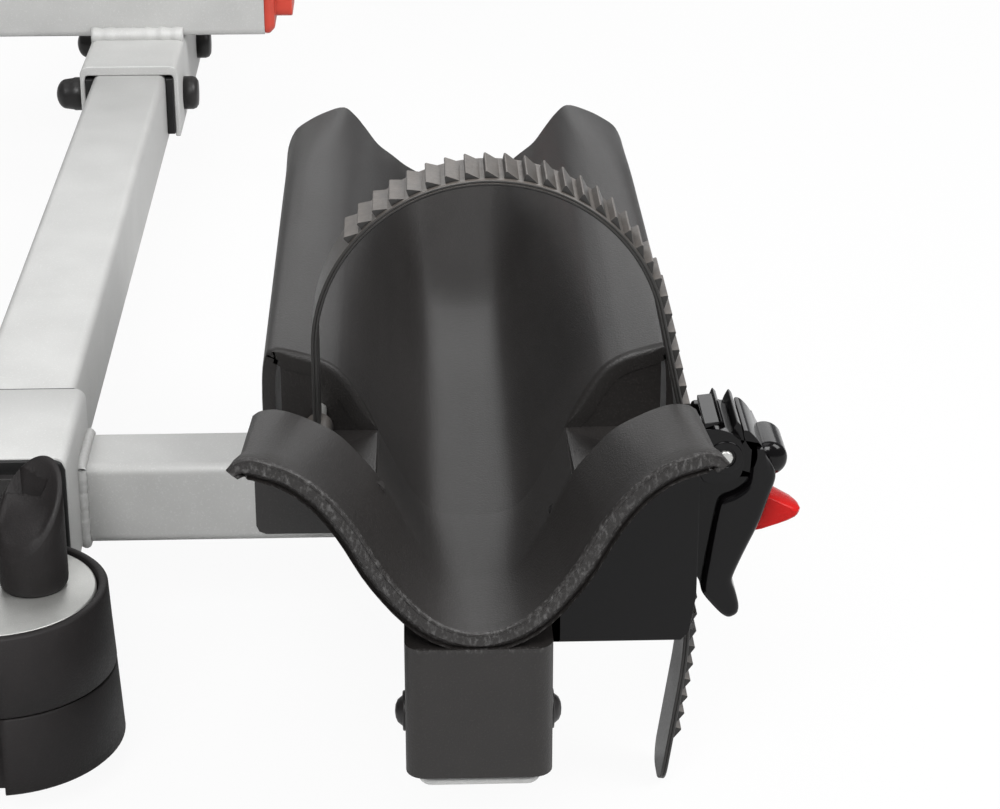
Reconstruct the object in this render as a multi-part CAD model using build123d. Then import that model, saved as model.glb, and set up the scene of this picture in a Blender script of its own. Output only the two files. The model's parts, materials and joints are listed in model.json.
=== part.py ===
from build123d import *
import os
from math import cos, degrees, hypot, radians, sin

# Two-bike hitch rack. The origin is the centre of the hitch pin hole, X points away from the
# vehicle, Y across it and Z up. Lengths are millimetres. "Near" is the -Y side.

# Cuts run this far past the faces they open, or out of the part altogether
margin = 1.0
far_away = 1000.0

# Rounds that repeat are drawn with this many flat faces
corner_chords = 2
arc_chords = 8
pin_sides = 10
knuckle_sides = 12
foot_sides = 20
tray_facets = 16
strap_turn_step = 15.0

# Shank and tilt joint
shank_side = 50.8
shank_wall = 6.35
tube_corner = 4.0
shank_ahead = 76.0
shank_behind = 132.0
hitch_pin_radius = 8.1
tilt_x = 188.0
plate_thickness = 8.0
plate_overlap = 62.0
plate_round = 33.0
plate_step = 24.0
plate_rise = 1.0
tilt_bolt_radius = 6.35
tilt_bolt_reach = 26.0
bolt_clearance = 0.05
large_hex_radius = 11.0
small_hex_radius = 10.5
hex_height = 8.0
lever_length = 92.0
lever_gap = 0.3
lever_hub_radius = 14.0
lever_hub_height = 20.0
lever_grip_width = 15.0
lever_grip_corner = 6.0
lever_grip_start = 8.0
lever_grip_thickness = 11.0

# Beam under the mast, with its end cap
beam_side = shank_side
beam_wall = 3.2
beam_front_x = 162.0
beam_end_x = 499.0
beam_boss_half = 14.0
plate_gap = 0.5
cap_flange = 5.5
cap_corner = 6.0
cap_chamfer = 3.0
cap_boss_length = 9.5
cap_boss_inset = 8.0
cap_boss_corner = 5.0
cap_plug_corner = 1.5
cap_plug_depth = 18.0
plug_clearance = 0.2

# Cross arms in their socket
arm_x = 430.0
arm_side = 38.1
arm_wall = 3.0
arm_middle_gap = 1.0
socket_wall = 2.6
socket_top_wall = 5.1
socket_half_width = 25.8
socket_bottom_z = -64.0
socket_half_length = 82.0
liner_lip = 1.5
liner_start_y = 20.0
liner_inset = 1.6
socket_bolt_y = 50.0
socket_bolt_radius = 4.0
bolt_head_radius = 8.9
bolt_head_height = 8.0
bolt_head_chamfer = 2.5
cap_nut_height = 17.0
cap_nut_chamfer = 4.0

# Sliding collar, crossbars and rails
collar_side = 50.8
collar_wall = 3.4
collar_y = 547.5
collar_length = 66.0
bush_clearance = 0.06
bush_depth = 22.0
bush_lip = 2.0
bush_lip_inset = 0.5
crossbar_y = collar_y - 13.0
crossbar_side = 31.75
crossbar_wall = 2.5
rail_side = 38.1
rail_wall = 2.5
rail_z = -56.85
rail_front_y = 717.2
rail_back_y = 372.0
tray_spacing = 334.6
knob_radius = 19.0
knob_notch_radius = 15.5
knob_lobes = 6
knob_lobe_share = 0.3
knob_height = 22.0
knob_gap = 1.0
knob_screw_radius = 4.0

# Foot at each arm's end
arm_end_y = collar_y + collar_length / 2 + 2.5
foot_beyond_arm = 53.8
foot_y = arm_end_y + foot_beyond_arm
foot_offset_x = 7.4
foot_top_z = -45.9
foot_disc_radius = 33.4
foot_disc_thickness = 5.0
foot_disc_chamfer = 1.0
foot_disc_gap = 0.8
foot_ring_top_radius = 37.3
foot_ring_bottom_radius = 40.0
foot_ring_rise = 0.6
foot_bore_radius = 9.0
foot_height = 56.6
foot_seam = 0.3
foot_slot_width = 9.0
foot_slot_depth = 6.0
foot_slot_drop = 14.0
tongue_width = 26.0
tongue_thickness = 5.0
tongue_nose = 6.0
tongue_clearance = 0.4
end_plate_extra = 4.0
end_plate_corner = 3.0
post_radius = 11.6
post_height = 49.4
post_chamfer = 2.0
post_offset = (11.2, 3.5)
post_cut_height = 30.0
post_cut_slope = 58.0
post_cut_turn = 55.0
post_pocket = [(4.5, -7.0), (4.5, 7.0), (8.0, 5.5), (9.6, 0.0), (8.0, -5.5)]
post_pocket_depth = 22.0

# Wheel tray: stations along Y, and at each the half outline of the trough, the shoulder's
# height and the outer edge of the upper surface
tray_skin = 4.0
lip_thickness = 5.6
shoulder_width = 14.0
skirt_half_width = 69.0
skirt_flare = 2.5
skirt_bottom_z = -30.0
skirt_top_z = 32.5
skirt_back_z = 15.0
lip_y = -718.6
wing_back_y = -677.0
body_front_y = -628.0
ramp_y = -440.0
tray_back_y = -356.0
lip_trough = [(0, -21.5), (14, -16.5), (27, -2.0), (38, 12.5), (46.5, 28.0)]
lip_edge = (skirt_half_width + 4.0, 39.5, 33.5)
wing_trough = [(0, -24.0), (12, -20.0), (21, -6.0), (30.5, 12.5), (42, 27.0)]
wing_edge = (skirt_half_width, 35.6, 32.5)
body_trough = [(0, -25.0), (13, -23.0), (21, -14.0), (31, 6.5), (42, 28.0)]
body_edge = (skirt_half_width, 34.5, 35.5)
ramp_edge = (skirt_half_width + 1.2, 34.0, 35.5)
back_trough = [(0, 3.0), (14, 5.0), (26, 12.5), (38, 25.5), (47, 35.0)]
back_edge = (skirt_half_width + skirt_flare, 20.0, 32.5)
pocket_floor_z = 6.5
pocket_inner_x = 31.5
pocket_lap = 3.0
anchor_wall_z = -5.0
anchor_wall_corner = 3.0
saddle_half_width = 23.0
saddle_bottom_z = -72.5
saddle_front_end_y = -632.0
saddle_back_start_y = -512.0
saddle_back_end_y = -392.0
sleeve_corner = 6.0
rail_clearance = 0.15
rail_end_gap = 0.2

# Ladder strap
strap_y = (wing_back_y + body_front_y) / 2 + 0.5
strap_width = 22.0
strap_thickness = 2.0
strap_inner_x = -49.0
strap_eye_radius = 4.6
arch_radius = 54.0
arch_top_z = 103.3
arch_end_degrees = 12.0
strap_outer_x = skirt_half_width - 3.2
strap_bend_radius = 70.0
tooth_pitch = 6.3
tooth_height = 2.3
tooth_rise_share = 0.14
tooth_start = 71.5
tail_lean_degrees = 3.0
tail_bend_z = -38.0
tail_bend_radius = 190.0
tail_turn_degrees = 11.0
tail_length = 37.5
tail_corner = 8.0
tail_smooth = 22.0
strap_clearance = 0.35
strap_pin_radius = 2.2
strap_pin_z = 14.5

# Buckle: outlines are given from the lever's pivot, and the tab's from its own pin
block_wall = 4.0
block_foot = [(0.0, 16.0), (2.0, 2.8), (4.6, 0.0)]
block_bottom_z = -47.5
block_inner_top_z = -31.0
block_right_x = skirt_half_width + 2.0
block_inner_x = saddle_half_width + 0.4
buckle_pivot = (skirt_half_width + 10.7, 13.7)
buckle_half_width = 17.0
ear_thickness = 3.2
ear_radius = 5.8
ear_clearance = 0.3
ear_foot = (-17.7, -9.0)
ear_arm = (-17.7, -11.3)
ear_root = 4.5
bridge_rise = 9.3
bridge_thickness = 2.2
bridge_clearance = 1.3
bridge_right_x = skirt_half_width + 8.0
hood_left_x = block_right_x
hood_right_x = skirt_half_width + 6.0
hood_foot_z = 10.0
buckle_pin_radius = 2.5
buckle_pin_end = 1.2
barrel_radius = 6.4
ridge_reach = 9.4
ridge_half_width = 2.2
ridge_degrees = (68.0, 95.0)
lever_half_width = 15.5
lever_outline = [(9.1, -1.0), (8.0, 1.8), (4.9, 4.9), (7.2, 6.7), (11.1, 3.9), (13.9, -1.1), (16.3, -5.3),
                 (16.8, -8.9), (13.3, -19.5), (11.1, -27.3), (6.3, -39.5), (3.9, -45.7), (6.1, -51.2),
                 (6.6, -55.7), (3.4, -59.3), (0.4, -57.4), (-5.7, -49.9), (-6.1, -47.3), (-4.2, -35.7),
                 (-1.6, -17.8), (-1.0, -15.7), (4.1, -13.6), (7.9, -10.9), (8.7, -8.0)]
lever_web = [(0.0, -4.5), (10.8, -7.7), (10.8, 3.3), (0.0, 5.5)]
lever_window = (-34.2, -12.7)
roll_offset = (17.6, -9.5)
roll_radius = 5.6
roll_span = (-9.0, 13.0)
tab_offset = (9.8, -22.7)
tab_half_width = 9.0
tab_clearance = 0.4
tab_trunnion_radius = 1.6
tab_trunnion_sides = 6
tab_trunnion_half = lever_half_width - 3.0
tab_outline = [(3.0, 6.5), (9.5, 4.5), (14.1, 1.8), (17.2, -2.0), (17.7, -5.2), (15.5, -7.8), (11.5, -8.6),
               (1.5, -10.6), (-6.5, -9.0), (-8.5, 4.0)]

# Mast with its two hook arms
mast_side = 38.1
mast_wall = 2.5
mast_pivot_z = 62.0
mast_foot = 23.0
mast_height = 700.0
mast_ear_thickness = 6.0
mast_ear_width = 60.0
mast_ear_gap = 0.3
mast_plate_half = 40.0
mast_plate_thickness = 5.0
mast_bolt_radius = 6.0
mast_bolt_end = 9.0
mast_cap_height = 7.0
mast_cap_chamfer = 2.5
mast_plug_depth = 15.0
hook_z = (520.0, 430.0)
sleeve_height = 62.0
sleeve_wall = 3.2
sleeve_clearance = 0.3
sleeve_outer_corner = 5.0
hook_reach = 165.0
hook_rod_radius = 9.0
hook_bend_radius = 24.0
hook_bend_chords = 4
hook_drop = 46.0
hook_jaw_radius = 27.0
hook_jaw_height = 4.0
pad_thickness = 9.0
pad_half_length = 17.0
cup_wall = 4.0
cup_height = 22.0
cup_floor = 6.0


def polygon(points):
    return make_face(Polyline(*points, close=True))


def turns(start, end, steps):
    """Even angles from start to end, given in degrees, as radians."""
    return [radians(start + (end - start) * i / steps) for i in range(steps + 1)]


def arc_points(x, z, radius, start, end, steps):
    return [(x + radius * cos(turn), z + radius * sin(turn)) for turn in turns(start, end, steps)]


def rounded(width, height, radius):
    """Rectangle whose round corners are drawn as chords."""
    points = []
    for start, x, z in ((0, 1, 1), (90, -1, 1), (180, -1, -1), (270, 1, -1)):
        corner = (x * (width / 2 - radius), z * (height / 2 - radius))
        points += arc_points(*corner, radius, start, start + 90, corner_chords)
    return polygon(points)


def rounded_top(half_width, low, top, radius):
    """Upright outline with a level foot and two round upper corners."""
    right = arc_points(half_width - radius, top - radius, radius, 0, 90, corner_chords)
    left = [(-x, z) for x, z in reversed(right)]
    return polygon([(half_width, low)] + right + left + [(-half_width, low)])


def half_round_top(half_width, low, centre):
    """Upright outline with a level foot and a half round top."""
    top = arc_points(0, centre, half_width, 0, 180, arc_chords)
    return polygon([(half_width, low)] + top + [(-half_width, low)])


def bar(side, corner=tube_corner):
    return rounded(side, side, corner)


def tube(side, wall):
    return bar(side) - Rectangle(side - 2 * wall, side - 2 * wall)


def pin(radius, sides=pin_sides):
    """A round pin drawn with flat sides inside its radius."""
    return RegularPolygon(radius, sides)


def hole(radius, sides=pin_sides):
    """A round hole drawn with flat sides outside its radius, so a pin turns in it."""
    return RegularPolygon(radius, sides, major_radius=False)


def along_x(sketch, x0, x1, y=0.0, z=0.0):
    return extrude(Plane.YZ.offset(x0) * Pos(y, z) * sketch, x1 - x0)


def along_y(sketch, y0, y1, x=0.0, z=0.0):
    return extrude(Plane.XZ.offset(-y1) * Pos(x, z) * sketch, y1 - y0)


def along_z(sketch, z0, z1, x=0.0, y=0.0):
    return extrude(Plane.XY.offset(z0) * Pos(x, y) * sketch, z1 - z0)


def box(x0, x1, y0, y1, z0, z1):
    return Pos((x0 + x1) / 2, (y0 + y1) / 2, (z0 + z1) / 2) * Box(x1 - x0, y1 - y0, z1 - z0)


def end_chamfer(shape, axis, index, length):
    """Chamfers the edges of the shape's last (-1) or first (0) face along an axis."""
    return chamfer(shape.faces().sort_by(axis)[index].edges(), length)


def opposite(shape):
    """The same piece on the far side: half a turn about the arms' vertical middle line."""
    return shape.rotate(Axis((arm_x, 0, 0), (0, 0, 1)), 180)


def moved(points, place):
    return [(x + place[0], z + place[1]) for x, z in points]


# Places that follow from the seats
arm_z = -beam_side / 2 - socket_top_wall - arm_side / 2
tray_x = arm_x + tray_spacing / 2
inner_shift = -tray_spacing
strap_pin_x = strap_inner_x - strap_thickness / 2
tab_pivot = (buckle_pivot[0] + tab_offset[0], buckle_pivot[1] + tab_offset[1])
foot_x = arm_x + foot_offset_x


def hitch_shank():
    body = along_x(tube(shank_side, shank_wall), -shank_ahead, shank_behind)
    return body - along_y(Circle(hitch_pin_radius), -shank_side, shank_side)


def tilt_plates():
    """Two side plates welded to the shank, whose round noses carry the tilt bolt."""
    start = shank_behind - plate_overlap
    low = shank_side / 2 + plate_rise
    nose = arc_points(tilt_x, 0, plate_round, -90, 90, arc_chords)
    outline = [(start, -low), (start + plate_step, -low), (start + plate_step, -plate_round)]
    outline += nose + [(start + plate_step, plate_round), (start + plate_step, low), (start, low)]
    plates = []
    for side in (-1, 1):
        y0, y1 = sorted((side * shank_side / 2, side * (shank_side / 2 + plate_thickness)))
        plates.append(along_y(polygon(outline), y0, y1) - tilt_hole())
    return Compound(plates)


def tilt_hole():
    return along_y(Circle(tilt_bolt_radius + bolt_clearance), -far_away, far_away, tilt_x)


def tilt_bolt():
    face = shank_side / 2 + plate_thickness
    shaft = along_y(Circle(tilt_bolt_radius), -face - tilt_bolt_reach, face, tilt_x)
    return shaft + along_y(RegularPolygon(large_hex_radius, 6), face, face + hex_height, tilt_x)


def tilt_lever():
    face = -(shank_side / 2 + plate_thickness + lever_gap)
    hub = along_y(pin(lever_hub_radius, knuckle_sides), face - lever_hub_height, face, tilt_x)
    grip = rounded(lever_length + lever_grip_width, lever_grip_width, lever_grip_corner)
    y1 = face - lever_grip_start
    arm = along_y(grip, y1 - lever_grip_thickness, y1, tilt_x + lever_length / 2)
    return hub + arm - tilt_hole()


def hitch_beam():
    """The beam's end between the plates is planed thinner by a running gap."""
    body = along_x(tube(beam_side, beam_wall), beam_front_x, beam_end_x)
    inner, half = beam_side / 2 - beam_wall, beam_boss_half
    body += box(tilt_x - half, tilt_x + half, -inner, inner, -half, half)
    limit, end = shank_side / 2 - plate_gap, tilt_x + plate_round + 4
    for y0, y1 in ((-far_away, -limit), (limit, far_away)):
        body -= box(0, end, y0, y1, -beam_side, beam_side)
    return body - tilt_hole()


def beam_cap():
    flange = along_x(bar(beam_side, cap_corner), beam_end_x, beam_end_x + cap_flange)
    flange = end_chamfer(flange, Axis.X, -1, cap_chamfer)
    boss_x, boss_side = beam_end_x + cap_flange, beam_side - 2 * cap_boss_inset
    boss = along_x(bar(boss_side, cap_boss_corner), boss_x, boss_x + cap_boss_length)
    plug_side = beam_side - 2 * (beam_wall + plug_clearance)
    return flange + boss + along_x(bar(plug_side, cap_plug_corner), beam_end_x - cap_plug_depth, beam_end_x)


def arm_socket():
    """Upside-down U welded under the beam, open below, that holds both arms."""
    top = -beam_side / 2
    outer = rounded_top(socket_half_width, socket_bottom_z, top, tube_corner)
    inner_half, inner_top = socket_half_width - socket_wall, top - socket_top_wall
    outer -= rounded_top(inner_half, socket_bottom_z, inner_top, tube_corner - socket_wall)
    return along_y(outer, -socket_half_length, socket_half_length, arm_x) - socket_holes()


def socket_holes():
    x0, x1, places = arm_x - arm_side, arm_x + arm_side, (-socket_bolt_y, socket_bolt_y)
    return Compound([along_x(pin(socket_bolt_radius), x0, x1, y, arm_z) for y in places])


def socket_liners():
    """Black pads between the socket's sides and each arm, with their ends proud of its mouth."""
    half, inner = socket_half_width - socket_wall, arm_side / 2
    low, high = socket_bottom_z + liner_inset, arm_z + arm_side / 2 - liner_inset
    pads = []
    for side in (-1, 1):
        x0, x1 = sorted((arm_x + side * inner, arm_x + side * half))
        for end in (-1, 1):
            y0, y1 = sorted((end * liner_start_y, end * (socket_half_length + liner_lip)))
            pads.append(box(x0, x1, y0, y1, low, high) - socket_holes())
    return Compound(pads)


def socket_bolts():
    bolts = []
    left, right = arm_x - socket_half_width, arm_x + socket_half_width
    for side in (-1, 1):
        y = side * socket_bolt_y
        shaft = along_x(pin(socket_bolt_radius), left - 1, right + 1, y, arm_z)
        profile = pin(bolt_head_radius, knuckle_sides)
        head = along_x(profile, right, right + bolt_head_height, y, arm_z)
        nut = along_x(profile, left - cap_nut_height, left, y, arm_z)
        head = end_chamfer(head, Axis.X, -1, bolt_head_chamfer)
        bolts.append(shaft + head + end_chamfer(nut, Axis.X, 0, cap_nut_chamfer))
    return Compound(bolts)


def arm_near():
    return along_y(tube(arm_side, arm_wall), -arm_end_y, -arm_middle_gap, arm_x, arm_z) - socket_holes()


def foot_bracket():
    """End plate on the arm with a round-nosed tongue under the foot's disc."""
    side = arm_side + end_plate_extra
    plate_y = -arm_end_y - end_plate_extra
    plate = along_y(bar(side, end_plate_corner), plate_y, -arm_end_y, arm_x, arm_z)
    half, back = tongue_width / 2, plate_y + 0.1
    nose = arc_points(foot_x, -foot_y - tongue_nose, half, 180, 360, arc_chords)
    outline = polygon(nose + [(foot_x + half, back), (foot_x - half, back)])
    top = foot_top_z - foot_disc_thickness
    return plate + along_z(outline, top - tongue_thickness, top)


def foot_drum(radius_top, radius_bottom, top, bottom):
    """Round body about the foot's middle line, with heights from the disc's top."""
    levels = ((radius_bottom, bottom), (radius_top, top))
    faces = [Plane.XY.offset(z) * pin(radius, foot_sides) for radius, z in levels]
    return Pos(foot_x, -foot_y, foot_top_z) * loft(faces, ruled=True)


def foot_disc():
    disc = foot_drum(foot_disc_radius, foot_disc_radius, 0, -foot_disc_thickness)
    return end_chamfer(disc, Axis.Z, -1, foot_disc_chamfer)


def foot_rings():
    """Two stacked rubber rings, the upper one round the disc, slit at the front."""
    middle, deep = -foot_height / 2, -foot_disc_thickness - tongue_thickness
    seam_radius = (foot_ring_top_radius + foot_ring_bottom_radius) / 2
    seat_radius = foot_disc_radius + foot_disc_gap
    upper = foot_drum(foot_ring_top_radius, seam_radius, foot_ring_rise, middle + foot_seam / 2)
    upper -= foot_drum(seat_radius, seat_radius, foot_ring_rise + 1, deep)
    lower = foot_drum(seam_radius, foot_ring_bottom_radius, middle - foot_seam / 2, -foot_height)
    room = tongue_width / 2 + tongue_clearance
    tongue = box(foot_x - room, foot_x + room, -foot_y, -arm_end_y,
                 foot_top_z + deep - tongue_clearance, foot_top_z + 2)
    half, front = foot_slot_width / 2, -foot_y - foot_ring_bottom_radius
    slot = box(foot_x - half, foot_x + half, front - 1, front + foot_slot_depth,
               foot_top_z - foot_height - 1, foot_top_z - foot_slot_drop)
    bore = foot_drum(foot_bore_radius, foot_bore_radius, 2, -foot_height - 1)
    return Compound([ring - bore - tongue - slot for ring in (upper, lower)])


def foot_post():
    """Rubber post with a slanted top that faces outward, and a pocket near its high edge."""
    body = along_z(pin(post_radius, knuckle_sides), 0, post_height)
    body = end_chamfer(body, Axis.Z, -1, post_chamfer)
    size = 4 * post_height
    above = Rot(0, -post_cut_slope, 0) * Pos(0, 0, size / 2) * Box(size, size, size)
    above = Pos(0, 0, post_cut_height) * above
    pocket = along_z(polygon(post_pocket), post_height - post_pocket_depth, post_height + 1)
    turned = Rot(0, 0, post_cut_turn) * (body - above - pocket)
    return Pos(foot_x + post_offset[0], -foot_y + post_offset[1], foot_top_z) * turned


def collar_ends():
    return -collar_y - collar_length / 2, -collar_y + collar_length / 2


def collar():
    y0, y1 = collar_ends()
    body = along_y(tube(collar_side, collar_wall), y0 + bush_lip, y1 - bush_lip, arm_x, arm_z)
    screw_hole = hole(knob_screw_radius + bolt_clearance)
    return body - along_z(screw_hole, arm_z - collar_side, arm_z, arm_x, -collar_y)


def collar_bushes():
    """A sliding bush in each end of the collar, with a lip against the collar's edge."""
    inner = collar_side - 2 * collar_wall
    bore = along_y(bar(arm_side + 2 * bush_clearance), -far_away, 0, arm_x, arm_z)
    y0, y1 = collar_ends()
    bushes = []
    for low, high, lip in ((y0, y0 + bush_depth, y0), (y1 - bush_depth, y1, y1 - bush_lip)):
        ring = along_y(Rectangle(inner, inner), low, high, arm_x, arm_z)
        ring += along_y(bar(collar_side - 2 * bush_lip_inset), lip, lip + bush_lip, arm_x, arm_z)
        bushes.append(ring - bore)
    return Compound(bushes)


def knob_outline():
    """Round knob with a notch between each two lobes."""
    points, radii = [], (knob_radius, knob_radius, knob_notch_radius)
    for lobe in range(knob_lobes):
        for share, radius in zip((-knob_lobe_share, knob_lobe_share, 0.5), radii):
            turn = radians(360 / knob_lobes * (lobe + share))
            points.append((radius * cos(turn), radius * sin(turn)))
    return polygon(points)


def collar_knob():
    top = arm_z - collar_side / 2 - knob_gap
    grip = along_z(knob_outline(), top - knob_height, top, arm_x, -collar_y)
    screw_end = arm_z - arm_side / 2 - bush_clearance
    return grip + along_z(pin(knob_screw_radius), top, screw_end, arm_x, -collar_y)


def crossbars():
    bars = []
    for side in (-1, 1):
        x0, x1 = sorted((side * collar_side / 2, side * (tray_spacing / 2 - rail_side / 2)))
        bars.append(along_x(tube(crossbar_side, crossbar_wall), arm_x + x0, arm_x + x1, -crossbar_y, rail_z))
    return Compound(bars)


def rails():
    profile = tube(rail_side, rail_wall)
    places = (tray_x, tray_x + inner_shift)
    return Compound([along_y(profile, -rail_front_y, -rail_back_y, x, rail_z) for x in places])


def upper_line(trough, edge):
    """The tray's upper surface at one station, as a smooth line drawn with even facets."""
    x, z, shoulder_z = edge
    half = trough + [(x - shoulder_width, shoulder_z), (x, z)]
    line = Spline(*([(-px, pz) for px, pz in reversed(half[1:])] + half))
    places = [line @ (i / tray_facets) for i in range(tray_facets + 1)]
    return [(place.X, place.Y) for place in places]


def lowered(points, thickness):
    """The underside: each point moved square to the line that joins its neighbours."""
    result = []
    for i, (x, z) in enumerate(points):
        before, after = points[max(i - 1, 0)], points[min(i + 1, len(points) - 1)]
        dx, dz = after[0] - before[0], after[1] - before[1]
        length = hypot(dx, dz)
        result.append((x + thickness * dz / length, z - thickness * dx / length))
    return result


def tray_outline(trough, edge, y, skin):
    """Closed outline of the skin at one station, in space."""
    top = upper_line(trough, edge)
    return [(tray_x + x, y, z) for x, z in top + list(reversed(lowered(top, skin)))]


def flat_face(*points):
    return make_face(Polyline(*points, close=True))


def tray_shell():
    """The skin between the stations, closed with flat triangles so that it keeps few faces."""
    loops = [tray_outline(lip_trough, lip_edge, lip_y, lip_thickness),
             tray_outline(wing_trough, wing_edge, wing_back_y, tray_skin),
             tray_outline(body_trough, body_edge, body_front_y, tray_skin),
             tray_outline(body_trough, ramp_edge, ramp_y, tray_skin),
             tray_outline(back_trough, back_edge, tray_back_y, tray_skin)]
    faces = [flat_face(*loops[0]), flat_face(*loops[-1])]
    for near, far in zip(loops, loops[1:]):
        for i in range(len(near)):
            j = (i + 1) % len(near)
            faces += [flat_face(near[i], near[j], far[j]), flat_face(near[i], far[j], far[i])]
    return Solid(Shell(faces))


def wall_band(x0, x1, y0, y1, z0, z1):
    return box(tray_x + x0, tray_x + x1, y0, y1, z0, z1)


def skirts():
    """Side walls that widen towards the back end, where their top edge drops with the skin."""
    length, parts = tray_back_y - body_front_y, []
    cut = polygon([(ramp_y, skirt_top_z), (tray_back_y, skirt_back_z), (tray_back_y + 1, skirt_back_z),
                   (tray_back_y + 1, skirt_top_z + 1), (ramp_y, skirt_top_z + 1)])
    for side in (-1, 1):
        front, skin = side * skirt_half_width, side * tray_skin
        back = front + side * skirt_flare
        plan = polygon([(front, 0), (back, length), (back - skin, length), (front - skin, 0)])
        wall = along_z(plan, skirt_bottom_z, skirt_top_z, tray_x, body_front_y)
        parts.append(wall - along_x(cut, tray_x - 2 * skirt_half_width, tray_x + 2 * skirt_half_width))
    return parts


def cross_wall(trough, edge, y0, y1):
    """Wall across the tray, from the middle of the skin down to the skirts' lower edge."""
    top = [(x, z - tray_skin / 2) for x, z in upper_line(trough, edge)]
    low, half = skirt_bottom_z, skirt_half_width
    sheet = along_y(polygon(top + [(top[-1][0], low), (top[0][0], low)]), y0, y1, tray_x)
    return sheet & box(tray_x - half, tray_x + half, y0, y1, low, far_away)


def saddle(y0, y1, front_corner):
    """Block under the trough that straddles the rail; the front one closes round its end."""
    half, top = saddle_half_width, body_trough[0][1] - tray_skin / 2
    plan = [(half, y1), (-half, y1)]
    if front_corner:
        left = arc_points(-half + front_corner, y0 + front_corner, front_corner, 180, 270, corner_chords)
        plan += left + [(-x, y) for x, y in reversed(left)]
    else:
        plan += [(-half, y0), (half, y0)]
    seat_half = rail_side / 2 + rail_clearance
    start = -rail_front_y - rail_end_gap if front_corner else y0 - 1
    seat_top = rail_z + rail_side / 2
    seat = box(tray_x - seat_half, tray_x + seat_half, start, y1 + 1, saddle_bottom_z - 1, seat_top)
    return along_z(polygon(plan), saddle_bottom_z, top, tray_x) - seat


def anchor_wall(inner):
    """Wall under the wing in front of the strap's anchor, with one cut corner."""
    half, low, cut = skirt_half_width, anchor_wall_z, anchor_wall_corner
    room = [(-half, far_away), (-half, low + cut), (-half + cut, low), (-inner, low), (-inner, far_away)]
    wall = cross_wall(wing_trough, wing_edge, wing_back_y - tray_skin, wing_back_y)
    return wall & along_y(polygon(room), lip_y, 0, tray_x)


def tray():
    body = tray_shell()
    for side in (-1, 1):
        x0, x1 = sorted((side * pocket_inner_x, side * 2 * skirt_half_width))
        body -= wall_band(x0, x1, wing_back_y, body_front_y, pocket_floor_z, far_away)
    for piece in skirts():
        body += piece
    body += cross_wall(body_trough, body_edge, body_front_y, body_front_y + tray_skin)
    under, inner = pocket_floor_z - tray_skin, pocket_inner_x - pocket_lap
    for x0, x1 in ((-skirt_half_width, -inner), (inner, strap_outer_x - strap_clearance)):
        body += wall_band(x0, x1, wing_back_y, body_front_y, under, pocket_floor_z)
    body += anchor_wall(inner)
    body += saddle(lip_y, saddle_front_end_y, sleeve_corner)
    body += saddle(saddle_back_start_y, saddle_back_end_y, 0)
    return body - strap_pin_rod(1.0)


def strap_pin_rod(extra=0.0):
    y0, y1 = wing_back_y - tray_skin - extra, body_front_y + tray_skin + extra
    return along_y(pin(strap_pin_radius), y0, y1, tray_x + strap_pin_x, strap_pin_z)


class Path:
    """A strap line of straight and round stretches; outward is to the left of travel."""

    def __init__(self, start, heading_degrees):
        self.point, self.heading = start, radians(heading_degrees)
        self.pieces, self.length = [], 0.0

    def straight(self, length):
        self._add(length, None)

    def bend(self, radius, turn_degrees):
        """A positive turn goes left, a negative one right."""
        self._add(radius * radians(abs(turn_degrees)), (1 if turn_degrees > 0 else -1) / radius)

    def _add(self, length, curve):
        self.pieces.append((self.length, length, self.point, self.heading, curve))
        self.point, self.heading = place_on(self.point, self.heading, curve, length)
        self.length += length

    def _piece(self, s):
        return next((piece for piece in self.pieces if s <= piece[0] + piece[1]), self.pieces[-1])

    def stretch(self, s, reach):
        """How much longer a line at this reach outward is than the path, at s."""
        curve = self._piece(s)[4]
        return 1.0 if curve is None else 1.0 - curve * reach

    def at(self, s, outward=0.0):
        start, length, point, heading, curve = self._piece(s)
        (x, z), angle = place_on(point, heading, curve, s - start)
        return x - outward * sin(angle), z + outward * cos(angle)

    def marks(self, end):
        """Path lengths up to end that draw the bends in even steps."""
        found = [0.0]
        for start, length, point, heading, curve in self.pieces:
            steps = 1 if curve is None else max(1, round(degrees(length * abs(curve)) / strap_turn_step))
            found += [start + length * i / steps for i in range(1, steps + 1)]
        return [s for s in found if s < end - 1.0] + [end]


def place_on(point, heading, curve, s):
    x, z = point
    if curve is None:
        return (x + s * cos(heading), z + s * sin(heading)), heading
    end = heading + s * curve
    return (x + (sin(end) - sin(heading)) / curve, z - (cos(end) - cos(heading)) / curve), end


def strap_path():
    """Up from the anchor pin, over in an arch, down through the buckle and out as the tail."""
    path = Path((strap_inner_x, strap_pin_z), 90.0)
    path.straight(arch_top_z - arch_radius - strap_pin_z)
    path.bend(arch_radius, arch_end_degrees - 180.0)
    slant, lean = radians(arch_end_degrees), radians(tail_lean_degrees)
    bend_x = strap_bend_radius * (cos(lean) - cos(slant))
    path.straight((strap_outer_x - bend_x - path.point[0]) / sin(slant))
    path.bend(strap_bend_radius, tail_lean_degrees - arch_end_degrees)
    path.straight((path.point[1] - tail_bend_z) / cos(lean))
    path.bend(tail_bend_radius, -tail_turn_degrees)
    path.straight(tail_length)
    return path


def tooth_starts(path):
    """Path lengths of the teeth, whose tips keep one pitch on bends too, and of their end."""
    starts, s = [], tooth_start
    while s < path.length - tail_smooth:
        starts.append(s)
        s += tooth_pitch / path.stretch(s, strap_thickness + tooth_height)
    return starts, s


def tail_corners(y0, y1, low):
    """What rounds the tail's two corners off."""
    r = tail_corner
    left = arc_points(y0 + r, low + r, r, 180, 270, corner_chords)
    left += [(y0 + r, low - r), (y0 - r, low - r), (y0 - r, low + r)]
    right = [(y0 + y1 - y, z) for y, z in left]
    return [along_x(polygon(points), tray_x, tray_x + 2 * skirt_half_width) for points in (left, right)]


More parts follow.
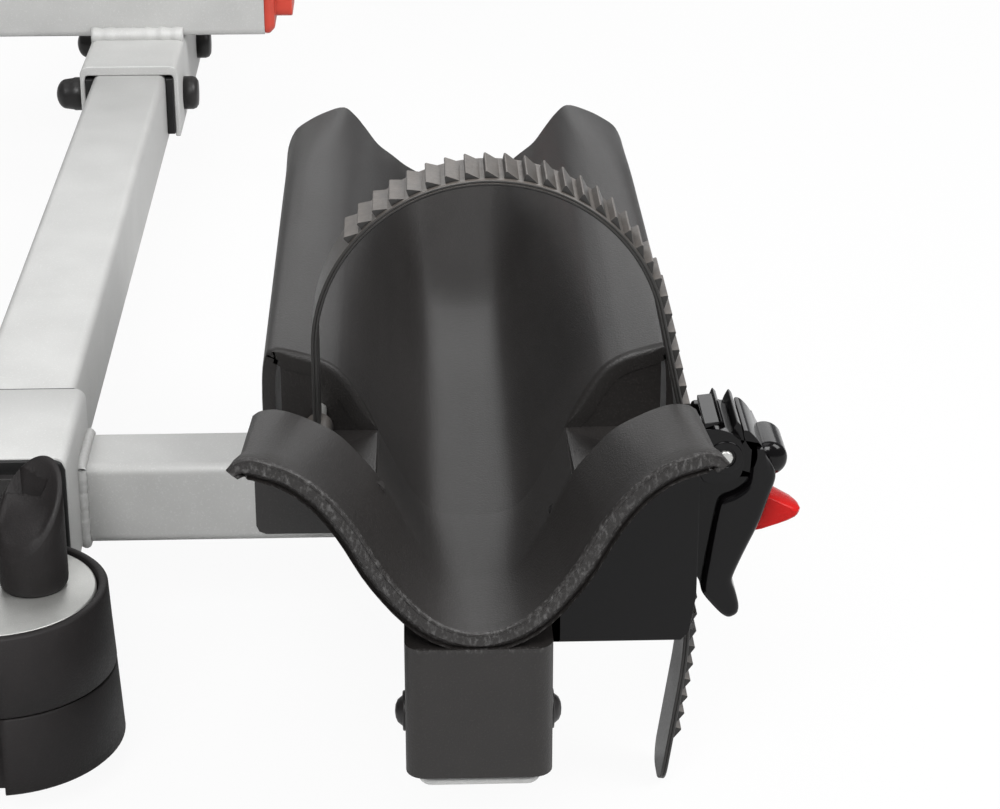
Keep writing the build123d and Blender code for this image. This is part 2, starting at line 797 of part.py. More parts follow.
def strap():
    """Ladder strap: smooth inside, sawtooth rungs outside, smooth at its anchor and tail tip."""
    path = strap_path()
    inner = [path.at(s) for s in path.marks(path.length)]
    outer = [path.at(s, strap_thickness) for s in path.marks(tooth_start)[:-1]]
    starts, last = tooth_starts(path)
    for s, following in zip(starts, starts[1:] + [last]):
        outer.append(path.at(s, strap_thickness))
        outer.append(path.at(s + tooth_rise_share * (following - s), strap_thickness + tooth_height))
    outer += [path.at(last, strap_thickness), path.at(path.length, strap_thickness)]
    y0, y1 = strap_y - strap_width / 2, strap_y + strap_width / 2
    place = (tray_x + strap_pin_x, strap_pin_z)
    body = along_y(polygon(inner + list(reversed(outer))), y0, y1, tray_x)
    body -= tail_corners(y0, y1, inner[-1][1])
    body += along_y(pin(strap_eye_radius), y0, y1, *place)
    return body - along_y(hole(strap_pin_radius + bolt_clearance), y0 - 1, y1 + 1, *place)


def ear_bands():
    """Y stretches of the buckle's two ears."""
    y0, y1 = strap_y - buckle_half_width, strap_y + buckle_half_width
    return (y0, y0 + ear_thickness), (y1 - ear_thickness, y1)


def buckle_ear(y0, y1, side_x):
    """One ear with its arm from the block, its hood and the lever pin's hole."""
    x, z = buckle_pivot
    foot, heel = ear_foot
    root, bridge_z = block_right_x - ear_root, z + bridge_rise
    left, right = x - ear_radius, x + ear_radius
    web = polygon([(root, z + foot), (right, z + heel), (right, z), (left, z + 1.5), (root, bridge_z)])
    ear = along_y(web, y0, y1, tray_x) + along_y(pin(ear_radius, knuckle_sides), y0, y1, tray_x + x, z)
    ear += wall_band(hood_left_x, hood_right_x, y0, y1, hood_foot_z, bridge_z)
    low, high = ear_arm
    ear += wall_band(side_x - block_wall, block_right_x + 0.5, y0, y1, z + low, z + high)
    return ear - along_y(pin(buckle_pin_radius), y0 - 1, y1 + 1, tray_x + x, z)


def height_at(line, x):
    """Height of a line of points at one place along X."""
    for (x0, z0), (x1, z1) in zip(line, line[1:]):
        if x0 <= x <= x1:
            return z0 + (z1 - z0) * (x - x0) / (x1 - x0)


def block_front(x0, x1, y0):
    """Front plate of the buckle's block: under the wing, with a slanted corner at its foot."""
    low, skin = block_bottom_z, tray_skin / 2
    line = upper_line(wing_trough, wing_edge)
    wing = [(x, z - skin) for x, z in line if x0 < x < x1]
    foot = [(x1 - inset, low + rise) for inset, rise in block_foot]
    outline = [(x1, wing[-1][1]), *foot, (x0, low), (x0, height_at(line, x0) - skin)]
    return along_y(polygon(outline + wing), y0, y0 + block_wall, tray_x)


def buckle_base(tray_solid):
    """Hollow block under the tray's outer side, with the two ears that carry the lever."""
    wall, low, x0, x1 = block_wall, block_bottom_z, block_inner_x, strap_outer_x - strap_clearance
    y0, y1 = wing_back_y, body_front_y + tray_skin
    body = block_front(x0, block_right_x, y0)
    body += wall_band(x0, x1, y1 - wall, y1, low, skirt_bottom_z)
    body += wall_band(x1 - wall, x1, y0 + 1, y1, low, pocket_floor_z - tray_skin)
    body += wall_band(x0, x0 + wall, y0, y1, low, block_inner_top_z)
    for band in ear_bands():
        body += buckle_ear(*band, x1)
    strap_back = strap_outer_x + strap_thickness + tooth_height + bridge_clearance
    z = buckle_pivot[1] + bridge_rise
    half = buckle_half_width
    body += wall_band(strap_back, bridge_right_x, strap_y - half, strap_y + half, z, z + bridge_thickness)
    return body - tray_solid


def buckle_pin():
    half = buckle_half_width + buckle_pin_end
    x, z = tray_x + buckle_pivot[0], buckle_pivot[1]
    return along_y(pin(buckle_pin_radius), strap_y - half, strap_y + half, x, z)


def buckle_lever():
    """Ratchet lever: a curved handle hung on a toothed barrel between the ears."""
    px, pz = tray_x + buckle_pivot[0], buckle_pivot[1]
    half, wide = buckle_half_width - ear_thickness - ear_clearance, lever_half_width
    body = along_y(polygon(lever_outline), strap_y - wide, strap_y + wide, px, pz)
    room = ear_radius + 2 * ear_clearance
    ear_room = pin(room, knuckle_sides) + Pos(0, -room - 1) * Rectangle(2 * room, 2 * room - 2)
    for y0, y1 in ((strap_y - far_away, strap_y - half), (strap_y + half, strap_y + far_away)):
        body -= along_y(ear_room, y0, y1, px, pz)
    core = pin(barrel_radius, knuckle_sides) + polygon(lever_web)
    root, tip = barrel_radius - 1.0, ridge_half_width
    for angle in ridge_degrees:
        core += Rot(0, 0, angle) * polygon([(root, -tip), (ridge_reach, 0), (root, tip)])
    body += along_y(core, strap_y - half, strap_y + half, px, pz)
    low, high = roll_span
    body += along_y(Pos(*roll_offset) * pin(roll_radius), strap_y + low, strap_y + high, px, pz)
    body -= along_y(hole(buckle_pin_radius + bolt_clearance), strap_y - wide - 1, strap_y + wide + 1, px, pz)
    window, (foot, top) = tab_half_width + tab_clearance, lever_window
    body -= box(px - far_away, px + far_away, strap_y - window, strap_y + window, pz + foot, pz + top)
    bore = hole(tab_trunnion_radius + bolt_clearance, tab_trunnion_sides)
    return body - tab_trunnions(bore, tab_trunnion_half + margin / 2)


def release_tab():
    """Red tab through the lever's window, on its own small pin."""
    outline = polygon(moved(tab_outline, tab_pivot))
    tab = along_y(outline, strap_y - tab_half_width, strap_y + tab_half_width, tray_x)
    return tab + tab_trunnions(pin(tab_trunnion_radius, tab_trunnion_sides), tab_trunnion_half)


def tab_trunnions(outline, half):
    return along_y(outline, strap_y - half, strap_y + half, tray_x + tab_pivot[0], tab_pivot[1])


def mast_faces():
    """Distance from the middle to the inner and outer faces of the mast's ears."""
    inner = mast_side / 2 + mast_ear_gap
    return inner, inner + mast_ear_thickness


def mast_base():
    inner, outer = mast_faces()
    low, half = beam_side / 2, mast_plate_half
    base = box(arm_x - half, arm_x + half, -outer, outer, low, low + mast_plate_thickness)
    for y0, y1 in ((-outer, -inner), (inner, outer)):
        base += along_y(half_round_top(mast_ear_width / 2, low, mast_pivot_z), y0, y1, arm_x)
    return base - along_y(hole(mast_bolt_radius), -far_away, far_away, arm_x, mast_pivot_z)


def mast_bolt():
    outer = mast_faces()[1]
    bolt = along_y(pin(mast_bolt_radius), -outer, outer + mast_bolt_end, arm_x, mast_pivot_z)
    for y0, y1 in ((-outer - hex_height, -outer), (outer, outer + hex_height)):
        bolt += along_y(RegularPolygon(small_hex_radius, 6), y0, y1, arm_x, mast_pivot_z)
    return bolt


def mast():
    low = mast_pivot_z - mast_foot
    body = along_z(tube(mast_side, mast_wall), low, low + mast_height, arm_x)
    return body - along_y(hole(mast_bolt_radius + bolt_clearance), -far_away, far_away, arm_x, mast_pivot_z)


def mast_cap():
    top = mast_pivot_z - mast_foot + mast_height
    head = along_z(bar(mast_side, cap_corner), top, top + mast_cap_height, arm_x)
    plug_side = mast_side - 2 * (mast_wall + plug_clearance)
    head = end_chamfer(head, Axis.Z, -1, mast_cap_chamfer)
    return head + along_z(Rectangle(plug_side, plug_side), top - mast_plug_depth, top, arm_x)


def sleeve_sides():
    inner = mast_side + 2 * sleeve_clearance
    return inner, inner + 2 * sleeve_wall


def hook_rod(start):
    """Rod out from the sleeve that bends down, drawn with straight stretches."""
    end, bend = hook_reach, hook_bend_radius
    arc = arc_points(end - bend, -bend, bend, 90, 0, hook_bend_chords)
    points = [(start, 0)] + arc + [(end, -hook_drop)]
    line = Polyline(*[(x, 0, z) for x, z in points])
    profile = Plane((start, 0, 0), x_dir=(0, 1, 0), z_dir=(1, 0, 0)) * pin(hook_rod_radius)
    return sweep(profile, path=line, transition=Transition.RIGHT)


def hook_arm(z, side):
    """Sliding sleeve with a rod that ends in a down-turned hook for a bicycle's frame tube."""
    inner, outer = sleeve_sides()
    outline = bar(outer, sleeve_outer_corner) - Rectangle(inner, inner)
    half = sleeve_height / 2
    sleeve = along_z(outline, z - half, z + half, arm_x)
    sleeve -= along_y(hole(knob_screw_radius + bolt_clearance), -far_away, 0, arm_x, z)
    rod = hook_rod(outer / 2 - 1.0)
    if side < 0:
        rod = rod.mirror(Plane.YZ)
    return sleeve + Pos(arm_x, 0, z) * rod


def hook_pad(z, side):
    """Rubber cradle over the rod's end: a half ring that sits on the frame tube."""
    ring = pin(hook_jaw_radius, foot_sides) - pin(hook_jaw_radius - pad_thickness, foot_sides)
    width, depth = 4 * hook_jaw_radius, 3 * hook_jaw_radius
    ring -= Pos(0, hook_jaw_height - depth / 2) * Rectangle(width, depth)
    x, rod_end = arm_x + side * hook_reach, z - hook_drop
    pad = along_x(ring, x - pad_half_length, x + pad_half_length, 0, rod_end - hook_jaw_radius)
    base = rod_end - cup_floor
    pad += along_z(pin(hook_rod_radius + cup_wall), base, base + cup_height, x)
    return pad - along_z(hole(hook_rod_radius), rod_end, rod_end + cup_height, x)


def hook_knob(z):
    face = -sleeve_sides()[1] / 2 - knob_gap / 2
    grip = along_y(knob_outline(), face - knob_height, face, arm_x, z)
    return grip + along_y(pin(knob_screw_radius), face, -mast_side / 2 - bush_clearance, arm_x, z)


def save(name, shape):
    """Writes a piece, or a group of pieces as separate solids, to its own STEP file."""
    os.makedirs("parts", exist_ok=True)
    shapes = shape if isinstance(shape, list) else [shape]
    solids = [solid for one in shapes for solid in one.solids()]
    export_step(solids[0] if len(solids) == 1 else Compound(solids), f"parts/{name}.step")


def build_hitch():
    for make in (hitch_shank, tilt_plates, tilt_bolt, tilt_lever):
        save(make.__name__, make())


def build_beam():
    for make in (hitch_beam, beam_cap, arm_socket, socket_liners, socket_bolts, arm_near):
        save(make.__name__, make())
    save("arm_far", opposite(arm_near()))
    feet = {"foot_brackets": foot_bracket(), "foot_discs": foot_disc(), "foot_rings": foot_rings(),
            "foot_posts": foot_post()}
    for name, piece in feet.items():
        save(name, [piece, opposite(piece)])


def build_collars():
    for make in (collar, collar_bushes, collar_knob, crossbars, rails):
        piece = make()
        save(make.__name__ + "_near", piece)
        save(make.__name__ + "_far", opposite(piece))


def build_trays():
    """Four equal trays. The far pair is turned half round, so far inner is near outer turned."""
    shell = tray()
    kinds = {"tray": shell, "strap": strap(), "buckle_base": buckle_base(shell),
             "buckle_lever": buckle_lever(), "release_tab": release_tab()}
    shift = Pos(inner_shift, 0, 0)
    for kind, piece in kinds.items():
        save(kind + "_near_outer", piece)
        save(kind + "_near_inner", shift * piece)
        save(kind + "_far_inner", opposite(piece))
        save(kind + "_far_outer", opposite(shift * piece))
    pins = [place * piece for place in (Pos(0, 0, 0), shift) for piece in (strap_pin_rod(), buckle_pin())]
    save("tray_pins_near", pins)
    save("tray_pins_far", [opposite(piece) for piece in pins])


def build_mast():
    for make in (mast_base, mast_bolt, mast, mast_cap):
        save(make.__name__, make())
    for name, z, side in (("front", hook_z[0], -1), ("rear", hook_z[1], 1)):
        save("hook_arm_" + name, hook_arm(z, side))
        save("hook_pad_" + name, hook_pad(z, side))
        save("hook_knob_" + name, hook_knob(z))


build_hitch()
build_beam()
build_collars()
build_trays()
build_mast()
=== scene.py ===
import json
from bisect import bisect_right
from math import atan2, cos, degrees, hypot, pi, radians, sin, sqrt

import bmesh
import bpy
from mathutils import Matrix, Vector

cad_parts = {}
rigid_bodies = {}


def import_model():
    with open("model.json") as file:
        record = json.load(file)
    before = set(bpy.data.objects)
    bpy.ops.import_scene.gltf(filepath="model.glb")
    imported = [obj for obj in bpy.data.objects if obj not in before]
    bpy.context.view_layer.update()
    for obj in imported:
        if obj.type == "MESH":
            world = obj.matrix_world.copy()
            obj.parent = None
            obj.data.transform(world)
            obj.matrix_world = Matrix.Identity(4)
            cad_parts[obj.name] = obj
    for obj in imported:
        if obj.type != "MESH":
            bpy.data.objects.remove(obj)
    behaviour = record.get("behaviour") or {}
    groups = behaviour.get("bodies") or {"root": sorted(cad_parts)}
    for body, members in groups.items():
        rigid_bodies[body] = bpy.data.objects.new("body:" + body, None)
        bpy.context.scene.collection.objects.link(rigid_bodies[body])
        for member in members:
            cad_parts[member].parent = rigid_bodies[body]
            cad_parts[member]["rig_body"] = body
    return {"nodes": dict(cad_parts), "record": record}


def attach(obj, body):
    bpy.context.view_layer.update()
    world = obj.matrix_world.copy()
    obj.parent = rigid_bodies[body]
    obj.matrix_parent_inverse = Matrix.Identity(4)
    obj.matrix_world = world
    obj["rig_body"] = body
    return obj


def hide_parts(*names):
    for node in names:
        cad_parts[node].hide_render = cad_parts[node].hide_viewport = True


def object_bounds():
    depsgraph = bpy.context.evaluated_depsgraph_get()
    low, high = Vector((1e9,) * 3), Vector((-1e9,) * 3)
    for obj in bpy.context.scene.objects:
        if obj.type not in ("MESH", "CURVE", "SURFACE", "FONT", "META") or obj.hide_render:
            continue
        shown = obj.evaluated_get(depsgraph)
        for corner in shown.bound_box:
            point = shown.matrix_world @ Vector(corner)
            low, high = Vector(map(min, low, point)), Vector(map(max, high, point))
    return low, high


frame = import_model()
cad_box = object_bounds()
nodes = frame["nodes"]
slot_of = {part["node"]: part["material_slot"] for part in frame["record"]["subparts"]}
MM = 0.001

# Camera: where the photograph was taken from
CAMERA_PLACE = (0.5792, -1.4237, 0.3615)
CAMERA_PITCH, CAMERA_YAW, CAMERA_LENS, SENSOR_WIDTH = 23.5, 1.984, 94.4, 36.0

# Studio, in metres: the floor lies this far under the object and reaches this far each way
FLOOR_GAP, FLOOR_HALF = 0.0004, 8.0
FLOOR_COLOR, FLOOR_ROUGHNESS = (0.6, 0.6, 0.6, 1), 0.9
WHITE_TO_CAMERA, WHITE_IN_GLOSS = 0.94, 0.2
WHITE = (1, 1, 1, 1)
SKY_COLOR, SKY_STRENGTH = (0.95, 0.97, 1.0, 1), 0.26

# Places and sizes shared with the solids, in millimetres
ARM_X, ARM_Z, ARM_SIDE, ARM_WALL, ARM_START_Y, ARM_END_Y = 430.0, -49.55, 38.1, 3.0, 1.0, 583.0
TUBE_CORNER, TUBE_EASE, LEAST_CORNER = 4.0, 0.5, 0.6
COLLAR_SIDE, COLLAR_WALL, COLLAR_Y0, COLLAR_Y1 = 50.8, 3.4, -578.5, -516.5
CROSSBAR_SIDE, CROSSBAR_WALL, CROSSBAR_Y, CROSSBAR_REACH = 31.75, 2.5, -534.5, 148.25
RAIL_SIDE, RAIL_WALL, RAIL_Z, RAIL_Y0, RAIL_Y1 = 38.1, 2.5, -56.85, -717.2, -372.0
BEAM_HALF, SOCKET_TOP, SOCKET_HALF = 25.4, -25.4, 25.8
SPACING = 334.6
TRAY_X = ARM_X + SPACING / 2

# The tray's front edge band, rough, with pale specks painted in as glints (painted highlight): where it starts
# across and in height, in metres
GLINT_BAND_FROM, GLINT_BAND_LOW, GLINT_SCALE, ROUGH_BAND_DEPTH = (0.7170, 0.7176), (-0.0285, -0.0275), 900.0, 0.0003
# Painted light: pale glint specks for the tray's front edge, and a paler tone painted on the strap's up-facing
# faces
GLINT_PAINT_COLOR, PAINTED_TOP_LIGHT_COLOR = (0.12, 0.117, 0.115, 1), (0.115, 0.10, 0.088, 1)


def placed(name, data):
    obj = bpy.data.objects.new(name, data)
    bpy.context.scene.collection.objects.link(obj)
    return obj


def mesh_of(bm):
    mesh = bpy.data.meshes.new("shape")
    bm.to_mesh(mesh)
    bm.free()
    return mesh


class Graph:
    """A material's node tree, with short calls to add nodes and links."""

    def __init__(self, name):
        self.material = bpy.data.materials.new(name)
        self.material.use_nodes = True
        self.tree = self.material.node_tree
        self.shader = self.tree.nodes["Principled BSDF"]
        self.output = self.tree.nodes["Material Output"]
        self.place = self.add("ShaderNodeTexCoord").outputs["Object"]

    def add(self, kind, inputs=None, **settings):
        node = self.tree.nodes.new(kind)
        for key, value in settings.items():
            setattr(node, key, value)
        for key, value in (inputs or {}).items():
            self.put(node.inputs[key], value)
        return node

    def put(self, socket, value):
        if isinstance(value, bpy.types.NodeSocket):
            self.tree.links.new(value, socket)
        else:
            socket.default_value = value

    def noise(self, scale, detail=2.0, rough=0.5, stretch=(1, 1, 1)):
        mapping = self.add("ShaderNodeMapping", {"Vector": self.place, "Scale": stretch})
        inputs = {"Vector": mapping.outputs[0], "Scale": scale, "Detail": detail, "Roughness": rough}
        return self.add("ShaderNodeTexNoise", inputs).outputs["Fac"]

    def remap(self, value, low, high, start=0.0, end=1.0):
        inputs = {"Value": value, "From Min": low, "From Max": high, "To Min": start, "To Max": end}
        return self.add("ShaderNodeMapRange", inputs).outputs["Result"]

    def math(self, operation, a, b):
        made = self.add("ShaderNodeMath", operation=operation)
        self.put(made.inputs[0], a)
        self.put(made.inputs[1], b)
        return made.outputs[0]

    def mix(self, factor, a, b):
        made = self.add("ShaderNodeMix", data_type="RGBA")
        self.put(made.inputs[0], factor)
        self.put(made.inputs[6], a)
        self.put(made.inputs[7], b)
        return made.outputs[2]

    def bump(self, height, distance, strength=1.0, normal=None):
        made = self.add("ShaderNodeBump", {"Height": height, "Distance": distance, "Strength": strength})
        if normal:
            self.put(made.inputs["Normal"], normal)
        return made.outputs["Normal"]

    def axis(self, name):
        return self.add("ShaderNodeSeparateXYZ", {"Vector": self.place}).outputs[name]

    def facing_up(self):
        """How much a surface faces up, from its own normal."""
        normal = self.add("ShaderNodeNewGeometry").outputs["Normal"]
        return self.add("ShaderNodeSeparateXYZ", {"Vector": normal}).outputs["Z"]


def shade(color, share):
    return tuple(min(1.0, c * share) for c in color) + (1.0,)


def surface(name, color, tone, rough, metallic=0.0, tone_scale=30.0, grain_scale=1500.0, grain_depth=0.00005,
            speckle=0.0, streak=None, specular=0.5, extra=None):
    """One procedural finish: tone drifts slowly, grain roughens and lights the surface finely."""
    g = Graph(name)
    drift = g.noise(tone_scale, 3.0)
    if streak:
        streaks = g.noise(60.0, 3.0, 0.6, streak)
        drift = g.math("ADD", g.math("MULTIPLY", drift, 0.5), g.math("MULTIPLY", streaks, 0.5))
    grain = g.noise(grain_scale, 2.0, 0.6)
    mixed = g.mix(g.remap(drift, 0.3, 0.7), shade(color, 1 - tone), shade(color, 1 + tone))
    if speckle:
        mixed = g.mix(g.remap(grain, 0.56, 0.7, 0.0, speckle), mixed, shade(color, 3.0))
    rough_mix = g.math("ADD", g.math("MULTIPLY", drift, 0.5), g.math("MULTIPLY", grain, 0.5))
    normal = g.bump(grain, grain_depth)
    if extra:
        mixed, normal = extra(g, mixed, normal)
    g.put(g.shader.inputs["Base Color"], mixed)
    g.put(g.shader.inputs["Roughness"], g.remap(rough_mix, 0.35, 0.65, *rough))
    g.put(g.shader.inputs["Normal"], normal)
    g.shader.inputs["Metallic"].default_value = metallic
    g.shader.inputs["Specular IOR Level"].default_value = specular
    return g.material


def lip_front(g, color, normal):
    """The tray's front edge is rougher than the rest, with fine pale specks painted in as glints (painted
    highlight).
    """
    across = g.math("ABSOLUTE", g.axis("Y"), 0.0)
    band = g.math("MULTIPLY", g.remap(across, *GLINT_BAND_FROM), g.remap(g.axis("Z"), *GLINT_BAND_LOW))
    rough_glints = g.noise(GLINT_SCALE, 4.0, 0.7, (1.0, 1.0, 0.5))
    # Pale specks painted in as glints (painted highlight) where the noise is high; the bump below is real
    # roughness
    share = g.math("MULTIPLY", band, g.remap(rough_glints, 0.5, 0.75, 0.0, 0.8))
    return g.mix(share, color, GLINT_PAINT_COLOR), g.bump(rough_glints, ROUGH_BAND_DEPTH, band, normal)


def worn_top(g, color, normal):
    """Faces that look up are painted paler in patches: painted light on the strap's lit top faces."""
    patches = g.remap(g.noise(300.0, 3.0), 0.3, 0.7, 0.6, 1.0)
    # Painted light: the more a face looks up, the paler its colour
    lit_share = g.math("MULTIPLY", g.remap(g.facing_up(), 0.25, 0.95), patches)
    return g.mix(g.math("MULTIPLY", lit_share, 0.85), color, PAINTED_TOP_LIGHT_COLOR), normal


finishes = {
    "steel_silver": surface(
        "silver_coat", (0.47, 0.47, 0.46), 0.05, (0.48, 0.58), metallic=0.12, tone_scale=40.0,
        grain_scale=1400.0, grain_depth=0.00004, speckle=0.12, specular=0.35),
    "zinc": surface(
        "zinc_plate", (0.50, 0.50, 0.48), 0.1, (0.3, 0.5), metallic=0.8, tone_scale=60.0,
        grain_scale=2200.0, speckle=0.25),
    "black_steel": surface(
        "black_coat", (0.014, 0.013, 0.013), 0.2, (0.28, 0.45), tone_scale=40.0, grain_scale=1400.0,
        grain_depth=0.00004, specular=0.35),
    "red_cap": surface(
        "red_cap", (0.50, 0.055, 0.035), 0.12, (0.35, 0.55), tone_scale=50.0, grain_scale=1600.0,
        grain_depth=0.00004, specular=0.3),
    "liner_black": surface(
        "liner_black", (0.010, 0.010, 0.010), 0.15, (0.4, 0.6), tone_scale=50.0, specular=0.3),
    # The tray's finish paints pale glints onto its front edge (painted highlight)
    "tray_black": surface(
        "tray_black", (0.0150, 0.0134, 0.0126), 0.2, (0.38, 0.50), tone_scale=14.0,
        grain_depth=0.00012, speckle=0.3, streak=(1.0, 0.06, 1.0), specular=0.42, extra=lip_front),
    # The strap's finish paints its up-facing faces paler, as painted light
    "strap_black": surface(
        "strap_black", (0.022, 0.021, 0.020), 0.15, (0.32, 0.46), tone_scale=40.0, grain_scale=1200.0,
        grain_depth=0.00004, specular=0.4, extra=worn_top),
    "buckle_black": surface(
        "buckle_black", (0.0028, 0.0025, 0.0028), 0.1, (0.12, 0.2), grain_scale=900.0,
        grain_depth=0.00001, specular=0.22),
    "tab_red": surface(
        "tab_red", (0.40, 0.010, 0.009), 0.1, (0.2, 0.3), tone_scale=60.0, grain_scale=900.0,
        grain_depth=0.00002, specular=0.1),
    "foot_rubber": surface(
        "foot_rubber", (0.012, 0.0105, 0.0105), 0.25, (0.45, 0.65), tone_scale=35.0, grain_scale=1300.0,
        grain_depth=0.00010, speckle=0.2, specular=0.25),
}


def edge_rounding(obj, width, segments=2, angle=40.0):
    """Small rounds on the edges that turn more than the angle, as a moulded or ground edge has."""
    bevel = obj.modifiers.new("edge", "BEVEL")
    bevel.width = width
    bevel.segments = segments
    bevel.limit_method = "ANGLE"
    bevel.angle_limit = radians(angle)
    bevel.use_clamp_overlap = True
    obj.modifiers.new("normals", "WEIGHTED_NORMAL").keep_sharp = True


def make_object(name, mesh, slot, body, replaced=()):
    obj = placed(name, mesh)
    mesh.materials.clear()
    mesh.materials.append(finishes[slot])
    for polygon in mesh.polygons:
        polygon.use_smooth = True
    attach(obj, body)
    if replaced:
        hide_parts(*replaced)
    return obj


def dressed(node, width=0.0007, flat_degrees=0.5):
    """The node's own shape with joined faces, even shading and rounded edges."""
    bm = bmesh.new()
    bm.from_mesh(nodes[node].data)
    bmesh.ops.remove_doubles(bm, verts=bm.verts, dist=1e-6)
    bmesh.ops.dissolve_limit(bm, angle_limit=radians(flat_degrees), verts=bm.verts, edges=bm.edges)
    edge_rounding(make_object(node + "_dressed", mesh_of(bm), slot_of[node], nodes[node]["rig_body"], (node,)),
                  width)


# Mesh building: loops of points joined into closed skins

def mesh_from(points, faces):
    """A mesh from points in millimetres, with its faces turned outward."""
    bm = bmesh.new()
    verts = [bm.verts.new([c * MM for c in point]) for point in points]
    for face in faces:
        if len(set(face)) > 2:
            bm.faces.new([verts[i] for i in dict.fromkeys(face)])
    bmesh.ops.recalc_face_normals(bm, faces=bm.faces)
    return mesh_of(bm)


def joined(meshes):
    bm = bmesh.new()
    for mesh in meshes:
        bm.from_mesh(mesh)
        bpy.data.meshes.remove(mesh)
    return mesh_of(bm)


def skin_of_loops(loops, ring=False):
    """Equal closed loops joined in order; the ends are closed, or joined to each other in a ring."""
    count = len(loops[0])
    points = [point for loop in loops for point in loop]
    faces = []
    pairs = len(loops) if ring else len(loops) - 1
    for i in range(pairs):
        a, b = i * count, (i + 1) % len(loops) * count
        faces += [(a + j, a + (j + 1) % count, b + (j + 1) % count, b + j) for j in range(count)]
    if not ring:
        last = (len(loops) - 1) * count
        faces += [tuple(range(count)), tuple(last + j for j in range(count))]
    return mesh_from(points, faces)


def arc(x, z, radius, start, end, steps):
    turns = [radians(start + (end - start) * i / steps) for i in range(steps + 1)]
    return [(x + radius * cos(turn), z + radius * sin(turn)) for turn in turns]


def rounded_square(side, corner, steps=6):
    half = side / 2 - corner
    return (arc(half, half, corner, 0, 90, steps) + arc(-half, half, corner, 90, 180, steps)
            + arc(-half, -half, corner, 180, 270, steps) + arc(half, -half, corner, 270, 360, steps))


AXES = {"x": lambda t, a, b: (t, a, b), "y": lambda t, a, b: (a, t, b), "z": lambda t, a, b: (a, b, t)}


def square_tube(axis, start, end, centre, side, wall):
    """Hollow square tube with drawn corners and slightly eased ends."""
    place, ease = AXES[axis], TUBE_EASE
    outer, small = rounded_square(side, TUBE_CORNER), rounded_square(side - 2 * ease, TUBE_CORNER - ease)
    bore = rounded_square(side - 2 * wall, max(TUBE_CORNER - wall, LEAST_CORNER))
    rows = [(start + ease, bore), (start, small), (start + ease, outer), (end - ease, outer), (end, small),
            (end - ease, bore)]
    loops = [[place(t, centre[0] + a, centre[1] + b) for a, b in outline] for t, outline in rows]
    return skin_of_loops(loops, ring=True)


def lathe(profile, sides, centre, axis="z"):
    """A turned body: the profile gives radius and height along the axis."""
    place = AXES[axis]
    loops = []
    for radius, height in profile:
        loop = []
        for i in range(sides):
            turn = 2 * pi * i / sides
            p = place(height, radius * cos(turn), radius * sin(turn))
            loop.append((p[0] + centre[0], p[1] + centre[1], p[2] + centre[2]))
        loops.append(loop)
    return skin_of_loops(loops)


def prism(axis, outline, start, end):
    place = AXES[axis]
    return skin_of_loops([[place(t, a, b) for a, b in outline] for t in (start, end)])


def cut(mesh, *tools):
    """The mesh with the closed tools taken out of it."""
    obj = placed("cut", mesh)
    helpers = [placed("tool", tool) for tool in tools]
    for helper in helpers:
        modifier = obj.modifiers.new("cut", "BOOLEAN")
        modifier.operation, modifier.solver, modifier.object = "DIFFERENCE", "EXACT", helper
    result = bpy.data.meshes.new_from_object(obj.evaluated_get(bpy.context.evaluated_depsgraph_get()))
    for helper in helpers + [obj]:
        bpy.data.objects.remove(helper)
    for used in (mesh,) + tools:
        bpy.data.meshes.remove(used)
    return result


# Copies: near outer is modelled, and the other three trays are shifted or turned

HALF_TURN = (Matrix.Translation((ARM_X * MM, 0, 0)) @ Matrix.Rotation(pi, 4, "Z")
             @ Matrix.Translation((-ARM_X * MM, 0, 0)))
SHIFT = Matrix.Translation((-SPACING * MM, 0, 0))
TRAY_PLACES = {"near_outer": Matrix.Identity(4), "near_inner": SHIFT, "far_inner": HALF_TURN,
               "far_outer": HALF_TURN @ SHIFT}
SIDE_PLACES = {"near": Matrix.Identity(4), "far": HALF_TURN}
AS_MADE = {"": Matrix.Identity(4)}

# Nodes that a finer shape replaces
shaped = set()


def copies(mesh, places, node, width=None, segments=2, angle=40.0, slot=None, detail=None):
    """One object for each place, in place of the node, or as a detail that rides with it."""
    for key, matrix in places.items():
        copy = mesh.copy()
        copy.transform(matrix)
        name = node.format(key)
        obj = make_object(f"{name}_{detail or 'shape'}", copy, slot or slot_of[name], nodes[name]["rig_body"],
                          () if detail else (name,))
        if not detail:
            shaped.add(name)
        if width:
            edge_rounding(obj, width, segments, angle)
    bpy.data.meshes.remove(mesh)


# Wheel tray

# Half sections of the upper surface, from the trough's middle outward, at places along Y
LIP = (-718.6, [(0, -21.5), (14, -16.5), (27, -2.0), (36.8, 15.0), (44, 24.7), (50.6, 30.8),
                (56.7, 34.6), (62, 36.6), (68, 38.2), (72, 37.2), (74.8, 34.6)])
FLARE = (-715.6, [(0, -21.7), (13.9, -16.7), (26.6, -2.2), (36.6, 15.0), (43.8, 24.6), (50.4, 30.8),
                  (56.5, 34.8), (61.6, 36.8), (67.2, 38.3), (70.8, 38.0), (72.6, 36.6)])
NECK = (-712.0, [(0, -21.8), (13.7, -17.0), (26.1, -2.6), (36.2, 14.6), (43.4, 24.3), (50.0, 30.7),
                 (56, 34.8), (61, 36.8), (66, 38.0), (69, 38.0), (70.6, 37.0)])
WING = (-677.0, [(0, -24.0), (12, -20.0), (21, -6.0), (30.3, 12.4), (37.5, 21.8), (43.6, 28.0),
                 (51, 32.2), (57, 34.8), (62, 36.0), (66.6, 35.5), (69, 34.0)])
BODY = (-628.0, [(0, -25.0), (13, -23.0), (21, -14.0), (31, 6.7), (36.9, 18.6), (43, 27.6),
                 (49, 31.8), (54, 33.6), (60, 35.3), (64.5, 36.0), (67.5, 33.8)])
